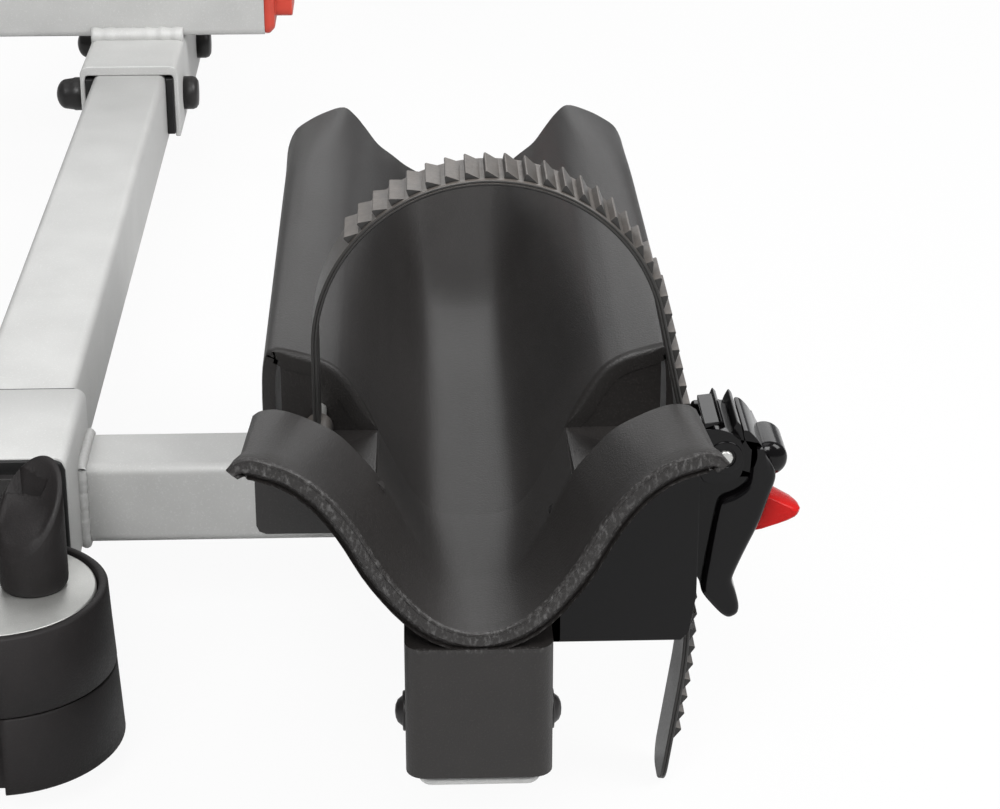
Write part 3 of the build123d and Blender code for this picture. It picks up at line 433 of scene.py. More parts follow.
RAMP = (-440.0, [(0, -25.0), (13, -23.0), (21, -14.0), (31, 6.7), (36.9, 19.0), (43, 28.2),
                 (49, 32.6), (54, 34.6), (60, 35.2), (65, 33.2), (68.6, 29.0)])
BACK = (-356.0, [(0, 3.0), (14, 5.0), (21, 8.6), (27, 13.5), (33, 18.5), (38, 25.5),
                 (42.5, 31.4), (47, 34.9), (54.5, 33.0), (62, 29.3), (68, 24.6)])
BODY_Y, WING_Y = BODY[0], WING[0]
COLUMN_STEPS = 4

# Outer walls: points downward, and how far they flare and sink toward the back
SKIRT = [(69, 24), (69, 0), (69, -30)]
SKIRT_FLARE, SKIRT_SINK = 2.5, 9.0

# Skins; toward the lip's tips the skin loses a share of its thickness
SKIN, LIP_SKIN, LIP_FRONT_STEP = 4.0, 7.0, 0.6
TIP_FROM, TIP_RUN, TIP_THINNED = 70.5, 5.0, 0.4

# Down the lip's front face: the share of the way from the top, and the step along Y
LIP_PROFILE = [(0.06, -0.5), (0.14, -0.6), (0.17, -0.42), (0.22, -0.6), (0.60, -0.6), (0.66, -0.2),
               (0.95, 1.6)]

# Soft rim of the pockets' back walls: the way back from the wall's face, and the drop there
RIM = [(0, 2.4), (0.3, 1.4), (0.8, 0.65), (1.6, 0.15), (2.6, 0)]
RIM_INNER_RUN, RIM_OUTER_X, RIM_OUTER_RUN, RIM_LEAST = 3.0, 67.0, 8.0, 0.25

# Pockets for the strap on both sides of the trough
POCKET_INNER, POCKET_EDGE, POCKET_FLOOR, POCKET_UNDER = 31.5, 31.3, 6.7, 2.5
FLOOR_SPANS = ((-68.8, -POCKET_EDGE, WING_Y - 0.5), (POCKET_EDGE, 65.4, WING_Y + 3.8))
SLOPE_OUTER_X, SLOPE_FOOT_Y, SLOPE_OUTER_Z, SLOPE_INNER_Z, SLOPE_DEPTH = 66.0, -665.0, 8.3, 13.2, 3.0
WALL_HALF, WALL_STEP, WALL_SINK, WALL_LOW = 64.0, 0.3, 2.5, -30.0
ANCHOR_WALL = [(-28.5, 10), (-40, 22), (-50, 29), (-69, 31), (-69, -2),
               (-68.1, -4.1), (-66, -5), (-28.5, -5)]

# Saddle on the rail
SADDLE_HALF, SADDLE_BOTTOM, SADDLE_TOP, SADDLE_CORNER = 23.0, -72.5, -27.0, 6.0
SADDLE_FRONT, SADDLE_BACK = (-718.6, -632.0), (-512.0, -392.0)
RAIL_GAP, RAIL_END_GAP = 0.15, 0.2


def clamped(value, low=0.0):
    return min(1.0, max(low, value))


def smooth_line(points, steps):
    """Samples of a smooth line through the points, as many in each stretch as steps says."""
    knots = [0.0]
    for a, b in zip(points, points[1:]):
        knots.append(knots[-1] + hypot(b[0] - a[0], b[1] - a[1]))
    slopes = []
    for i in range(len(points)):
        lo, hi = max(i - 1, 0), min(i + 1, len(points) - 1)
        span = knots[hi] - knots[lo]
        slopes.append(((points[hi][0] - points[lo][0]) / span, (points[hi][1] - points[lo][1]) / span))
    samples = []
    for i, (a, b) in enumerate(zip(points, points[1:])):
        h = knots[i + 1] - knots[i]
        for step in range(steps):
            u = step / steps
            weights = (2 * u ** 3 - 3 * u ** 2 + 1, (u ** 3 - 2 * u ** 2 + u) * h, 3 * u ** 2 - 2 * u ** 3,
                       (u ** 3 - u ** 2) * h)
            ends = (a, slopes[i], b, slopes[i + 1])
            samples.append(tuple(sum(w * end[k] for w, end in zip(weights, ends)) for k in (0, 1)))
    return samples + [tuple(points[-1])]


def blended(station_a, station_b, y, ease=False):
    """The half section at y, between two stations."""
    t = (y - station_a[0]) / (station_b[0] - station_a[0])
    if ease:
        t = t * t * (2 - t)
    return [(a[0] + t * (b[0] - a[0]), a[1] + t * (b[1] - a[1])) for a, b in zip(station_a[1], station_b[1])]


def whole(half):
    return [(-x, z) for x, z in reversed(half[1:])] + list(half)


def underside(line, thickness):
    """The line moved square to itself by the skin's thickness."""
    result = []
    for i, (x, z) in enumerate(line):
        before, after = line[max(i - 1, 0)], line[min(i + 1, len(line) - 1)]
        dx, dz = after[0] - before[0], after[1] - before[1]
        length = hypot(dx, dz)
        depth = thickness * (1 - TIP_THINNED * clamped((abs(x) - TIP_FROM) / TIP_RUN))
        result.append((x + depth * dz / length, z - depth * dx / length))
    return result


def even(start, end, steps):
    return [start + (end - start) * i / steps for i in range(steps + 1)]


def row_line(station_a, station_b, y, ease=False):
    return smooth_line(whole(blended(station_a, station_b, y, ease)), COLUMN_STEPS)


def rim_lowered(line, drop):
    """The line lowered outside the trough, for the soft rim of the pockets' back walls."""
    shares = [clamped((abs(x) - POCKET_INNER) / RIM_INNER_RUN)
              * clamped((RIM_OUTER_X - abs(x)) / RIM_OUTER_RUN, RIM_LEAST) for x, _ in line]
    return [tuple(p[k] + share * (q[k] - p[k]) for k in (0, 1))
            for p, q, share in zip(line, underside(line, drop), shares)]


def with_skirt(station, share):
    """The station with its outer wall, flared and sunk by a share."""
    walls = [(x + SKIRT_FLARE * share, z) for x, z in SKIRT]
    walls[0] = (walls[0][0], SKIRT[0][1] - SKIRT_SINK * share)
    return station[0], station[1] + walls


def tray_rows():
    """Rows (y, line, thickness, reach) from the lip to the back; reach counts each side's columns."""
    full, inner, skirted = 10 * COLUMN_STEPS, 3 * COLUMN_STEPS, 13 * COLUMN_STEPS
    rows = []
    for a, b, steps in ((LIP, FLARE, 3), (FLARE, NECK, 3), (NECK, WING, 14)):
        for y in even(a[0], b[0], steps)[0 if a is LIP else 1:]:
            thickness = LIP_SKIN + (SKIN - LIP_SKIN) * (y - LIP[0]) / (WING[0] - LIP[0])
            step = LIP_FRONT_STEP if y == LIP[0] else 0.0
            rows.append((y + step, row_line(a, b, y), thickness, full))
    rows += [(y, row_line(WING, BODY, y), SKIN, inner) for y in even(WING[0], BODY[0], 12)[1:-1]]
    front, ramp, back = with_skirt(BODY, 0.0), with_skirt(RAMP, 0.3), with_skirt(BACK, 1.0)
    rim_line = smooth_line(whole(front[1]), COLUMN_STEPS)
    rows += [(front[0] + dy, rim_lowered(rim_line, drop), SKIN, skirted) for dy, drop in RIM]
    ramp_start = front[0] + RIM[-1][0]
    rows += [(y, row_line(front, ramp, y), SKIN, skirted) for y in even(ramp_start, ramp[0], 16)[1:]]
    rows += [(y, row_line(ramp, back, y, ease=True), SKIN, skirted) for y in even(ramp[0], back[0], 18)[1:]]
    return rows


def skin_points(rows):
    """Points of the tray's upper and lower surfaces, with their numbers by row, column and layer."""
    points, index = [], {}
    for r, (y, line, thickness, reach) in enumerate(rows):
        middle = len(line) // 2
        for layer, side in ((0, line), (1, underside(line, thickness))):
            for c in range(-reach, reach + 1):
                index[r, c, layer] = len(points)
                points.append((TRAY_X + side[middle + c][0], y, side[middle + c][1]))
    return points, index


def skin_faces(rows, index):
    """Faces of both surfaces, and the edges where the skin ends."""
    faces, single = [], {}
    for r in range(len(rows) - 1):
        reach = min(rows[r][3], rows[r + 1][3])
        for c in range(-reach, reach):
            ring = [(r, c), (r, c + 1), (r + 1, c + 1), (r + 1, c)]
            faces.append(tuple(index[a, b, 0] for a, b in ring))
            faces.append(tuple(index[a, b, 1] for a, b in reversed(ring)))
            for edge in zip(ring, ring[1:] + ring[:1]):
                key = tuple(sorted(edge))
                single[key] = key not in single
    return faces, [edge for edge, alone in single.items() if alone]


def rim_column(key, stepped, points, index):
    """Point numbers from the upper to the lower surface at one place on the skin's edge."""
    top, foot = index[key + (0,)], index[key + (1,)]
    if not stepped:
        return [top, foot]
    if key not in index:
        index[key] = list(range(len(points), len(points) + len(LIP_PROFILE)))
        for share, step in LIP_PROFILE:
            x, y, z = (u + share * (w - u) for u, w in zip(points[top], points[foot]))
            points.append((x, y + step, z))
    return [top, *index[key], foot]


def tray_skin():
    """One closed skin for the whole tray, open in the middle where the pockets are."""
    rows = tray_rows()
    points, index = skin_points(rows)
    faces, edges = skin_faces(rows, index)
    for a, b in edges:
        m, n = (rim_column(key, a[0] == b[0] == 0, points, index) for key in (a, b))
        faces += [(m[i], n[i], n[i + 1], m[i + 1]) for i in range(len(m) - 1)]
    for c in (-rows[0][3], rows[0][3]):
        faces.append(tuple(rim_column((0, c), True, points, index)))
    return mesh_from(points, faces)


def cross_wall():
    """Wall across the tray behind the pockets, from just under the skin down to a level edge."""
    line = underside(smooth_line(whole(BODY[1] + SKIRT[:1]), 2), WALL_SINK)
    top = [(TRAY_X + x, z) for x, z in line if abs(x) <= WALL_HALF]
    outline = top + [(top[-1][0], WALL_LOW), (top[0][0], WALL_LOW)]
    return prism("y", outline, BODY_Y + WALL_STEP, BODY_Y + SKIN)


def slab(x0, x1, y0, y1, z0, z1):
    outline = [(TRAY_X + x0, z0), (TRAY_X + x1, z0), (TRAY_X + x1, z1), (TRAY_X + x0, z1)]
    return prism("y", outline, y0, y1)


def pocket_slope(side):
    """Sloped floor beside the trough: from a slanted foot line it rises to the wing."""
    front, foot = WING_Y + (0.2 if side > 0 else -1.0), BODY_Y - 0.2
    corners = [(POCKET_EDGE, foot, POCKET_FLOOR), (SLOPE_OUTER_X, SLOPE_FOOT_Y, POCKET_FLOOR),
               (SLOPE_OUTER_X, front, SLOPE_OUTER_Z), (POCKET_EDGE, front, SLOPE_INNER_Z)]
    top = [(TRAY_X + side * x, y, z) for x, y, z in corners]
    return skin_of_loops([top, [(x, y, POCKET_FLOOR - SLOPE_DEPTH) for x, y, z in top]])


def saddle(y0, y1, closed):
    """Block that straddles the rail: side cheeks, a bridge above, and a front wall where closed."""
    half, seat, r = SADDLE_HALF, RAIL_SIDE / 2 + RAIL_GAP, SADDLE_CORNER
    if closed:
        left = arc(-half + r, y0 + r, r, 180, 270, 6)
        plan = [(-half, y1)] + left + [(-x, y) for x, y in reversed(left)] + [(half, y1)]
        end_y = RAIL_Y0 - RAIL_END_GAP
        lower = [plan + [(seat, y1), (seat, end_y), (-seat, end_y), (-seat, y1)]]
    else:
        plan = [(-half, y0), (half, y0), (half, y1), (-half, y1)]
        lower = [[(a, y0), (b, y0), (b, y1), (a, y1)] for a, b in ((-half, -seat), (seat, half))]
    bridge_low = RAIL_Z + RAIL_SIDE / 2
    pieces = [prism("z", [(TRAY_X + x, y) for x, y in outline], SADDLE_BOTTOM, bridge_low)
              for outline in lower]
    pieces.append(prism("z", [(TRAY_X + x, y) for x, y in plan], bridge_low, SADDLE_TOP))
    return pieces


def tray_mesh():
    anchor = [(TRAY_X + x, z) for x, z in ANCHOR_WALL]
    parts = [tray_skin(), cross_wall(), prism("y", anchor, WING_Y - SKIN, WING_Y)]
    parts += [slab(x0, x1, y0, BODY_Y + 0.5, POCKET_UNDER, POCKET_FLOOR) for x0, x1, y0 in FLOOR_SPANS]
    parts += [pocket_slope(-1), pocket_slope(1)]
    parts += saddle(*SADDLE_FRONT, True) + saddle(*SADDLE_BACK, False)
    return joined(parts)


copies(tray_mesh(), TRAY_PLACES, "tray_{}", 0.0009, 3, 34.0)


# Ladder strap: an arch from its pin, a slant, a bend, a straight run through the buckle and a tail

STRAP_NEAR, STRAP_FAR = -663.0, -641.0
STRAP_THICK, TOOTH_HEIGHT, TOOTH_PITCH, TOOTH_INSET, TOOTH_ROOT = 2.0, 2.3, 6.3, 1.7, 0.9
TOOTH_START, TAIL_SMOOTH, TAIL_CORNER = 71.5, 22.0, 8.0
PIN_Z, PIN_RADIUS, EYE_X, EYE_RADIUS, EYE_EASE = 14.5, 2.2, -50.0, 4.6, 0.5
STRAP_INNER_X, STRAP_OUTER_X, ARCH_RADIUS, ARCH_TOP = -49.0, 65.8, 54.0, 103.3
SLANT_DEGREES, LEAN_DEGREES, BEND_RADIUS = 12.0, 3.0, 70.0
TAIL_BEND_Z, TAIL_BEND_RADIUS, TAIL_TURN, TAIL_LENGTH = -38.0, 190.0, 11.0, 37.5
SAMPLE_STEP, BAND_ROWS, EDGE_EASE, EDGE_STEP, GROOVE_STEP = 0.5, 260, 0.35, 0.05, 0.45


def strap_pieces():
    """Straight and round stretches: length and turn to the right in degrees."""
    slant, lean = radians(SLANT_DEGREES), radians(LEAN_DEGREES)
    end_x = STRAP_INNER_X + ARCH_RADIUS + ARCH_RADIUS * cos(slant)
    slope = (STRAP_OUTER_X - BEND_RADIUS * (cos(lean) - cos(slant)) - end_x) / sin(slant)
    end_z = ARCH_TOP - ARCH_RADIUS + ARCH_RADIUS * sin(slant) - slope * cos(slant)
    down = (end_z - BEND_RADIUS * (sin(slant) - sin(lean)) - TAIL_BEND_Z) / cos(lean)
    turns = (180 - SLANT_DEGREES, SLANT_DEGREES - LEAN_DEGREES, TAIL_TURN)
    arch, bend, tail = [(radius * radians(turn), turn)
                        for radius, turn in zip((ARCH_RADIUS, BEND_RADIUS, TAIL_BEND_RADIUS), turns)]
    return [(ARCH_TOP - ARCH_RADIUS - PIN_Z, 0), arch, (slope, 0), bend, (down, 0), tail, (TAIL_LENGTH, 0)]


def strap_samples():
    """Samples (s, x, z, heading) along the strap's inner face."""
    samples, s, x, z, heading = [], 0.0, STRAP_INNER_X, PIN_Z, radians(90)
    for length, turn in strap_pieces():
        steps = max(1, round(length / SAMPLE_STEP))
        step, half_turn = length / steps, radians(turn) / steps / 2
        for _ in range(steps):
            samples.append((s, x, z, heading))
            heading -= half_turn
            x, z, s = x + step * cos(heading), z + step * sin(heading), s + step
            heading -= half_turn
    return samples + [(s, x, z, heading)]


class StrapLine:
    """The strap's inner face as a line that is measured along its length."""

    def __init__(self):
        self.samples = strap_samples()
        self.marks = [sample[0] for sample in self.samples]
        self.length = self.marks[-1]

    def at(self, s, out):
        """X and Z at a length along the strap, a distance out from its inner face."""
        s = min(max(s, 0.0), self.length)
        following = min(bisect_right(self.marks, s), len(self.marks) - 1)
        a, b = self.samples[following - 1:following + 1]
        t = (s - a[0]) / (b[0] - a[0])
        x, z, heading = (a[k] + t * (b[k] - a[k]) for k in (1, 2, 3))
        return TRAY_X + x - out * sin(heading), z + out * cos(heading)

    def stretch(self, s, reach):
        """How much longer the strap is there, a distance out, than at its inner face."""
        outer, inner = ([self.at(s + d, out) for d in (-SAMPLE_STEP, SAMPLE_STEP)] for out in (reach, 0))
        lengths = [hypot(b[0] - a[0], b[1] - a[1]) for a, b in (outer, inner)]
        return lengths[0] / max(1e-6, lengths[1])

    def tail_inset(self, s):
        """How far the strap's edges draw in there, where its tail is rounded."""
        left = self.length - s
        if left >= TAIL_CORNER:
            return 0.0
        return TAIL_CORNER - sqrt(max(0.0, TAIL_CORNER ** 2 - (TAIL_CORNER - left) ** 2))


def strap_band(line):
    """The band under the teeth, with eased edges and a fine line along each side."""
    t, e, low = STRAP_THICK, EDGE_EASE, EDGE_STEP
    half = [(e, 0.0), (low, e), (low, 0.42 * t), (GROOVE_STEP, 0.5 * t), (low, 0.58 * t), (low, t - e),
            (e, t)]
    marks = even(0.0, line.length - TAIL_CORNER, BAND_ROWS)
    marks += [line.length - TAIL_CORNER * (1 - sin(radians(a))) for a in range(9, 91, 9)]
    loops = []
    for s in marks:
        inset, places = line.tail_inset(s), [(y, *line.at(s, out)) for y, out in half]
        loops.append([(x, STRAP_NEAR + inset + y, z) for y, x, z in places]
                     + [(x, STRAP_FAR - inset - y, z) for y, x, z in reversed(places)])
    return skin_of_loops(loops)


def tooth(line, s, pitch):
    t, tall = STRAP_THICK, STRAP_THICK + TOOTH_HEIGHT
    profile = [(0.0, t - TOOTH_ROOT), (0.06, tall - 0.25), (0.10, tall), (0.16, tall - 0.05),
               (0.70, t + 0.25), (0.78, t), (0.80, t - TOOTH_ROOT)]
    points = [line.at(s + share * pitch, out) for share, out in profile]
    sides = (STRAP_NEAR + TOOTH_INSET, STRAP_FAR - TOOTH_INSET)
    return skin_of_loops([[(x, y, z) for x, z in points] for y in sides])


def strap_eye():
    bore, soft = PIN_RADIUS + 0.1, EYE_RADIUS - EYE_EASE
    profile = [(bore, STRAP_NEAR), (soft, STRAP_NEAR), (EYE_RADIUS, STRAP_NEAR + EYE_EASE),
               (EYE_RADIUS, STRAP_FAR - EYE_EASE), (soft, STRAP_FAR), (bore, STRAP_FAR)]
    return lathe(profile, 32, (TRAY_X + EYE_X, 0, PIN_Z), "y")


def strap_mesh():
    line = StrapLine()
    marks = [TOOTH_START]
    while marks[-1] < line.length - TAIL_SMOOTH:
        marks.append(marks[-1] + TOOTH_PITCH / line.stretch(marks[-1], STRAP_THICK + TOOTH_HEIGHT))
    teeth = [tooth(line, s, following - s) for s, following in zip(marks, marks[1:])]
    return joined([strap_band(line), *teeth, strap_eye()])


copies(strap_mesh(), TRAY_PLACES, "strap_{}", 0.00022, 2, 34.0)


# Square tubes

bar_ends = [sorted(ARM_X + side * reach for reach in (COLLAR_SIDE / 2, CROSSBAR_REACH)) for side in (-1, 1)]
bars = [square_tube("x", *ends, (CROSSBAR_Y, RAIL_Z), CROSSBAR_SIDE, CROSSBAR_WALL) for ends in bar_ends]
rails = [square_tube("y", RAIL_Y0, RAIL_Y1, (x, RAIL_Z), RAIL_SIDE, RAIL_WALL)
         for x in (TRAY_X, TRAY_X - SPACING)]
axis = (ARM_X, ARM_Z)
tubes = {"arm_{}": square_tube("y", -ARM_END_Y, -ARM_START_Y, axis, ARM_SIDE, ARM_WALL),
         "collar_{}": square_tube("y", COLLAR_Y0, COLLAR_Y1, axis, COLLAR_SIDE, COLLAR_WALL),
         "crossbars_{}": joined(bars), "rails_{}": joined(rails)}
for node, tube in tubes.items():
    copies(tube, SIDE_PLACES, node)


# Weld beads: radius and pitch; each scale falls from its full radius to a share of it and wavers

SCALE_LOW, SCALE_RISE, SCALE_WAVER, WAVER_RATE, STEPS_PER_SCALE, BEAD_SIDES = 0.82, 0.18, 0.05, 0.7, 5, 14
SOCKET_BEAD, BAR_BEAD = (4.6, 7.5), (2.1, 3.4)
SOCKET_OUT, SOCKET_UP, BAR_OUT, BEAD_INSET = 1.6, 1.4, 0.4, 1.0


def weld(path, radius, pitch, closed=False):
    """A bead of overlapping scales that runs along a path of points."""
    points = [Vector(point) for point in path]
    if closed:
        points.append(points[0])
    loops, travelled, step = [], 0.0, pitch / STEPS_PER_SCALE
    for a, b in zip(points, points[1:]):
        run = (b - a).length
        ahead = (b - a).normalized()
        side = ahead.cross(Vector((0, 0, 1)) if abs(ahead.z) < 0.9 else Vector((0, 1, 0))).normalized()
        up = side.cross(ahead)
        for i in range(int(run / step) + 1):
            place = travelled + i * step
            r = radius * (SCALE_LOW + SCALE_RISE * sqrt(max(0.0, 1 - place / pitch % 1.0))
                          + SCALE_WAVER * sin(WAVER_RATE * place))
            centre = a + ahead * min(i * step, run)
            loops.append([tuple(centre + side * r * cos(t) + up * r * sin(t))
                          for t in (2 * pi * k / BEAD_SIDES for k in range(BEAD_SIDES))])
        travelled += run
    return skin_of_loops(loops, ring=closed)


def socket_welds():
    """Fillets between the beam's sides and the socket's top, on both sides of the beam."""
    z, beads = SOCKET_TOP + SOCKET_UP, []
    for y in (-BEAM_HALF - SOCKET_OUT, BEAM_HALF + SOCKET_OUT):
        ends = [(ARM_X + x, y, z) for x in (BEAD_INSET - SOCKET_HALF, SOCKET_HALF - BEAD_INSET)]
        beads.append(weld(ends, *SOCKET_BEAD))
    return joined(beads)


def crossbar_welds():
    """Beads round both crossbars, where they meet the collar and the rails."""
    outline, beads = rounded_square(CROSSBAR_SIDE + 2 * BAR_OUT, TUBE_CORNER, 3), []
    for side in (-1, 1):
        for reach in (COLLAR_SIDE / 2 + BEAD_INSET, CROSSBAR_REACH - BEAD_INSET):
            path = [(ARM_X + side * reach, CROSSBAR_Y + a, RAIL_Z + b) for a, b in outline]
            beads.append(weld(path, *BAR_BEAD, closed=True))
    return joined(beads)


copies(socket_welds(), AS_MADE, "arm_socket", detail="welds")
copies(crossbar_welds(), SIDE_PLACES, "crossbars_{}", detail="welds")


# Foot

FOOT_X, FOOT_Y, FOOT_TOP, FOOT_HEIGHT = 437.4, -636.8, -45.9, 56.6
RING_TOP_R, RING_SEAM_R, RING_BOTTOM_R, RING_RISE, RING_EASE = 37.3, 38.65, 40.0, 0.6, 0.8
SEAT_R, SEAT_Z, SLOT_HALF, SLOT_DEPTH, SLOT_TOP_R, SLOT_TOP_Z = 34.2, -9.9, 4.5, 6.0, 37.9, -14.0
DISC_R, DISC_THICKNESS, DISC_BORE = 33.4, 5.0, 9.0


def both_feet(mesh, node):
    """Both feet in one object, as the node holds both."""
    far = mesh.copy()
    far.transform(HALF_TURN)
    copies(joined([mesh, far]), AS_MADE, node)


def slit_ring(radius, z, slit=True):
    """Outline of the ring at one height, with the slit at its front."""
    edge = degrees(atan2(-sqrt(radius ** 2 - SLOT_HALF ** 2), SLOT_HALF))
    points = arc(0, 0, radius, edge, 180 - edge, 88)
    half, floor_y = (SLOT_HALF, SLOT_DEPTH - RING_BOTTOM_R) if slit else (SLOT_HALF / 3, 0.03 - radius)
    return [(FOOT_X + x, FOOT_Y + y, FOOT_TOP + z) for x, y in points + [(-half, floor_y), (half, floor_y)]]


def foot_rings():
    """The upper ring with the disc's seat, slit below its rim, and the lower ring."""
    middle = -FOOT_HEIGHT / 2
    upper = [(SEAT_R, SEAT_Z, False), (SEAT_R, RING_RISE - 0.3, False), (SEAT_R + 0.3, RING_RISE, False),
             (RING_TOP_R - RING_EASE, RING_RISE, False), (RING_TOP_R, RING_RISE - RING_EASE, False),
             (SLOT_TOP_R, SLOT_TOP_Z + 0.05, False), (SLOT_TOP_R + 0.02, SLOT_TOP_Z),
             (RING_SEAM_R, middle + 0.75), (RING_SEAM_R - 0.5, middle + 0.2)]
    lower = [(RING_SEAM_R - 0.5, middle - 0.2), (RING_SEAM_R, middle - 0.75),
             (RING_BOTTOM_R, 1.0 - FOOT_HEIGHT), (RING_BOTTOM_R - 1.0, -FOOT_HEIGHT)]
    rings = [[slit_ring(*row) for row in rows] for rows in (upper, lower)]
    return joined([skin_of_loops(loops) for loops in rings])


disc = [(DISC_BORE, -DISC_THICKNESS), (DISC_R, -DISC_THICKNESS), (DISC_R, -0.8), (DISC_R - 0.25, -0.25),
        (DISC_R - 0.8, 0.0), (DISC_BORE, 0.0)]
both_feet(foot_rings(), "foot_rings")
both_feet(lathe(disc, 96, (FOOT_X, FOOT_Y, FOOT_TOP)), "foot_discs")

# Rubber post: its top is slanted, with a bowl, a tongue, a rim that falls away and a deep pit
POST_R, POST_OFFSET, POST_TURN, POST_SIDES = 11.6, (12.4, 3.5), radians(60.0), 80
POST_SLOPE, POST_MIDDLE, POST_FOOT = 1.27, 29.5, 3.0
BOWL_DEPTH, BOWL_EDGE, RIM_DROP, RIM_FROM = 2.4, 0.86, 1.5, 0.84
TONGUE_HEIGHT, TONGUE_MIDDLE, TONGUE_LONG, TONGUE_WIDE = 2.2, -4.5, 6.0, 8.0
POST_SHARES = [0.004, 0.12, 0.24, 0.36, 0.48, 0.60, 0.70, 0.78, 0.84, 0.89, 0.93, 0.965, 0.99, 1.0]
POST_PIT = [(7.6, 8.4), (6.4, -3.4), (3.4, -2.6), (3, 3.8), (1.4, 10.2), (4.4, 10.4)]
PIT_FLOOR, PIT_TOP = 12.0, 60.0


def post_place(u, v, z):
    """A point of the post from its own axes: u climbs the slanted top, v runs across it."""
    x, y = u * cos(POST_TURN) - v * sin(POST_TURN), u * sin(POST_TURN) + v * cos(POST_TURN)
    return (FOOT_X + POST_OFFSET[0] + x, FOOT_Y + POST_OFFSET[1] + y, FOOT_TOP + z)


def post_top(u, v):
    """Height of the slanted top: a soft rim round a shallow bowl with a raised tongue."""
    r = hypot(u, v) / POST_R
    bowl = BOWL_DEPTH * max(0.0, 1 - (r / BOWL_EDGE) ** 2)
    tongue = (TONGUE_HEIGHT * max(0.0, 1 - ((u - TONGUE_MIDDLE) / TONGUE_LONG) ** 2)
              * max(0.0, 1 - (v / TONGUE_WIDE) ** 2))
    rim = RIM_DROP * max(0.0, (r - RIM_FROM) / (1 - RIM_FROM)) ** 2
    return POST_MIDDLE + POST_SLOPE * u - bowl + tongue - rim


def post_mesh():
    turns = [2 * pi * i / POST_SIDES for i in range(POST_SIDES)]
    rims = [(POST_R * cos(a), POST_R * sin(a)) for a in turns]
    tops = [[(u * share, v * share) for u, v in rims] for share in POST_SHARES]
    loops = [[post_place(u, v, post_top(u, v)) for u, v in ring] for ring in tops]
    for share in (0.7, 0.35, 0.0):
        loops.append([post_place(u, v, POST_FOOT + (post_top(u, v) - POST_FOOT) * share) for u, v in rims])
    for share, z in ((0.985, 1.6), (0.95, 0.7), (0.9, 0.0)):
        loops.append([post_place(u * share, v * share, z) for u, v in rims])
    pocket = [[post_place(u, v, z) for u, v in POST_PIT] for z in (PIT_FLOOR, PIT_TOP)]
    return cut(skin_of_loops(loops), skin_of_loops(pocket))


both_feet(post_mesh(), "foot_posts")


# Bolts across the arm socket

BOLT_Y, BOLT_R, SHAFT_R, CAP_REACH, CAP_DOME = 50.0, 8.9, 4.0, 11.5, 5.4


def bolt_mesh():
    """Both bolts: a domed cap at the left, a low head at the right and the shaft between."""
    left, right, dome_r = ARM_X - SOCKET_HALF, ARM_X + SOCKET_HALF, BOLT_R - 0.9
    cap = [(SHAFT_R, left), (BOLT_R, left), (BOLT_R, left - 7.0), (BOLT_R - 0.4, left - 8.0),
           (dome_r, left - CAP_REACH)]
    cap += [(max(dome_r * cos(a), 0.2), left - CAP_REACH - CAP_DOME * sin(a))
            for a in (radians(turn) for turn in range(10, 91, 10))]
    head = [(SHAFT_R, right), (BOLT_R, right), (BOLT_R, right + 4.8), (BOLT_R - 0.7, right + 6.6),
            (BOLT_R - 2.4, right + 7.7), (0.3, right + 8.0)]
    shaft = [(SHAFT_R, left), (SHAFT_R, right)]
    return joined([lathe(profile, sides, (0, y, ARM_Z), "x") for y in (-BOLT_Y, BOLT_Y)
                   for profile, sides in ((cap, 48), (head, 48), (shaft, 32))])


copies(bolt_mesh(), AS_MADE, "socket_bolts")


# Ratchet buckle: its outlines are measured from the lever's pin

PIVOT_X, PIVOT_Z, STRAP_Y = TRAY_X + 79.7, 13.7, -652.0
LEVER_HALF, BARREL_HALF, BARREL_R, BARREL_EASE = 15.5, 13.4, 6.4, 0.8
CROWN, CROWN_DEPTH, INSET_FROM, INSET_RUN = 2.6, 2.0, 0.5, 5.0
LEVER_HORN = [(8.9, 0.4), (6.6, 4.2), (5.8, 7.8), (7.8, 7.6), (10.6, 4.6), (13.9, -1.1)]
LEVER_OUTLINE = [(8.9, 1.2), (9, 3.4), (11.4, 3.4), (13.9, -1.1), (16.6, -6), (17, -9),
                 (14.8, -16), (12.3, -24.5), (7.8, -34.8), (4.4, -43.4), (4, -45.9), (5.6, -50),
                 (6.8, -55), (6.3, -57.8), (3.4, -59.3), (0.6, -57.6), (-5.4, -50.4), (-6.3, -47.4),
                 (-4.7, -36), (-2, -18.4), (-0.6, -15.6), (4.2, -13.8), (7.7, -11), (8.6, -7)]
LEVER_WEB = [(-8, -8.6), (10.8, -9), (10, -14), (-1, -18), (-4.6, -38), (-6.2, -46.6),
             (-7.6, -44), (-8.2, -30)]
LEVER_CORE = [(0, -4.5), (10.8, -7.7), (10.8, 3.3), (0, 5.5)]
WINDOW_FOOT, WINDOW_TOP, WINDOW_HALF, WEB_INNER, WEB_OUTER = -34.2, -12.7, 9.4, 10.6, 12.6
# Room for the ears at the barrel's ends; the tools that cut it and the window reach past the handle
ROOM_R, ROOM_LOW, PAST = 10.5, 2.0, 40.0
ROLL, ROLL_R, ROLL_Y = (15.6, -5.4), 5.9, (-9.5, 13.0)
FINS = [[(-3.4, 5.2), (0.9, 5.4), (0.3, 8.2), (-0.1, 10), (-1.3, 11.4), (-2.2, 9)],
        [(1.6, 5), (6.6, 3), (5.7, 7.2), (5.2, 9.4), (4, 10.9), (2.7, 8.4)]]
EAR = [(-8.3, -9), (2.6, -9), (5.2, -6.6), (6.2, -3), (6.2, 2.6), (4.6, 6), (1.6, 8.6), (-2.6, 9.9),
       (-8.3, 9.9)]
EAR_Y0, EAR_Y1, FAR_EAR_TOP, EAR_FOOT_X, EAR_FOOT_LOW, EAR_FOOT_TOP = 13.8, 17.0, 5.4, 72.0, -17.7, -9.3
BOSS = [(5.6, 16.9), (5.6, 17.3), (4.6, 17.5), (3.4, 17.4), (3.2, 16.9)]
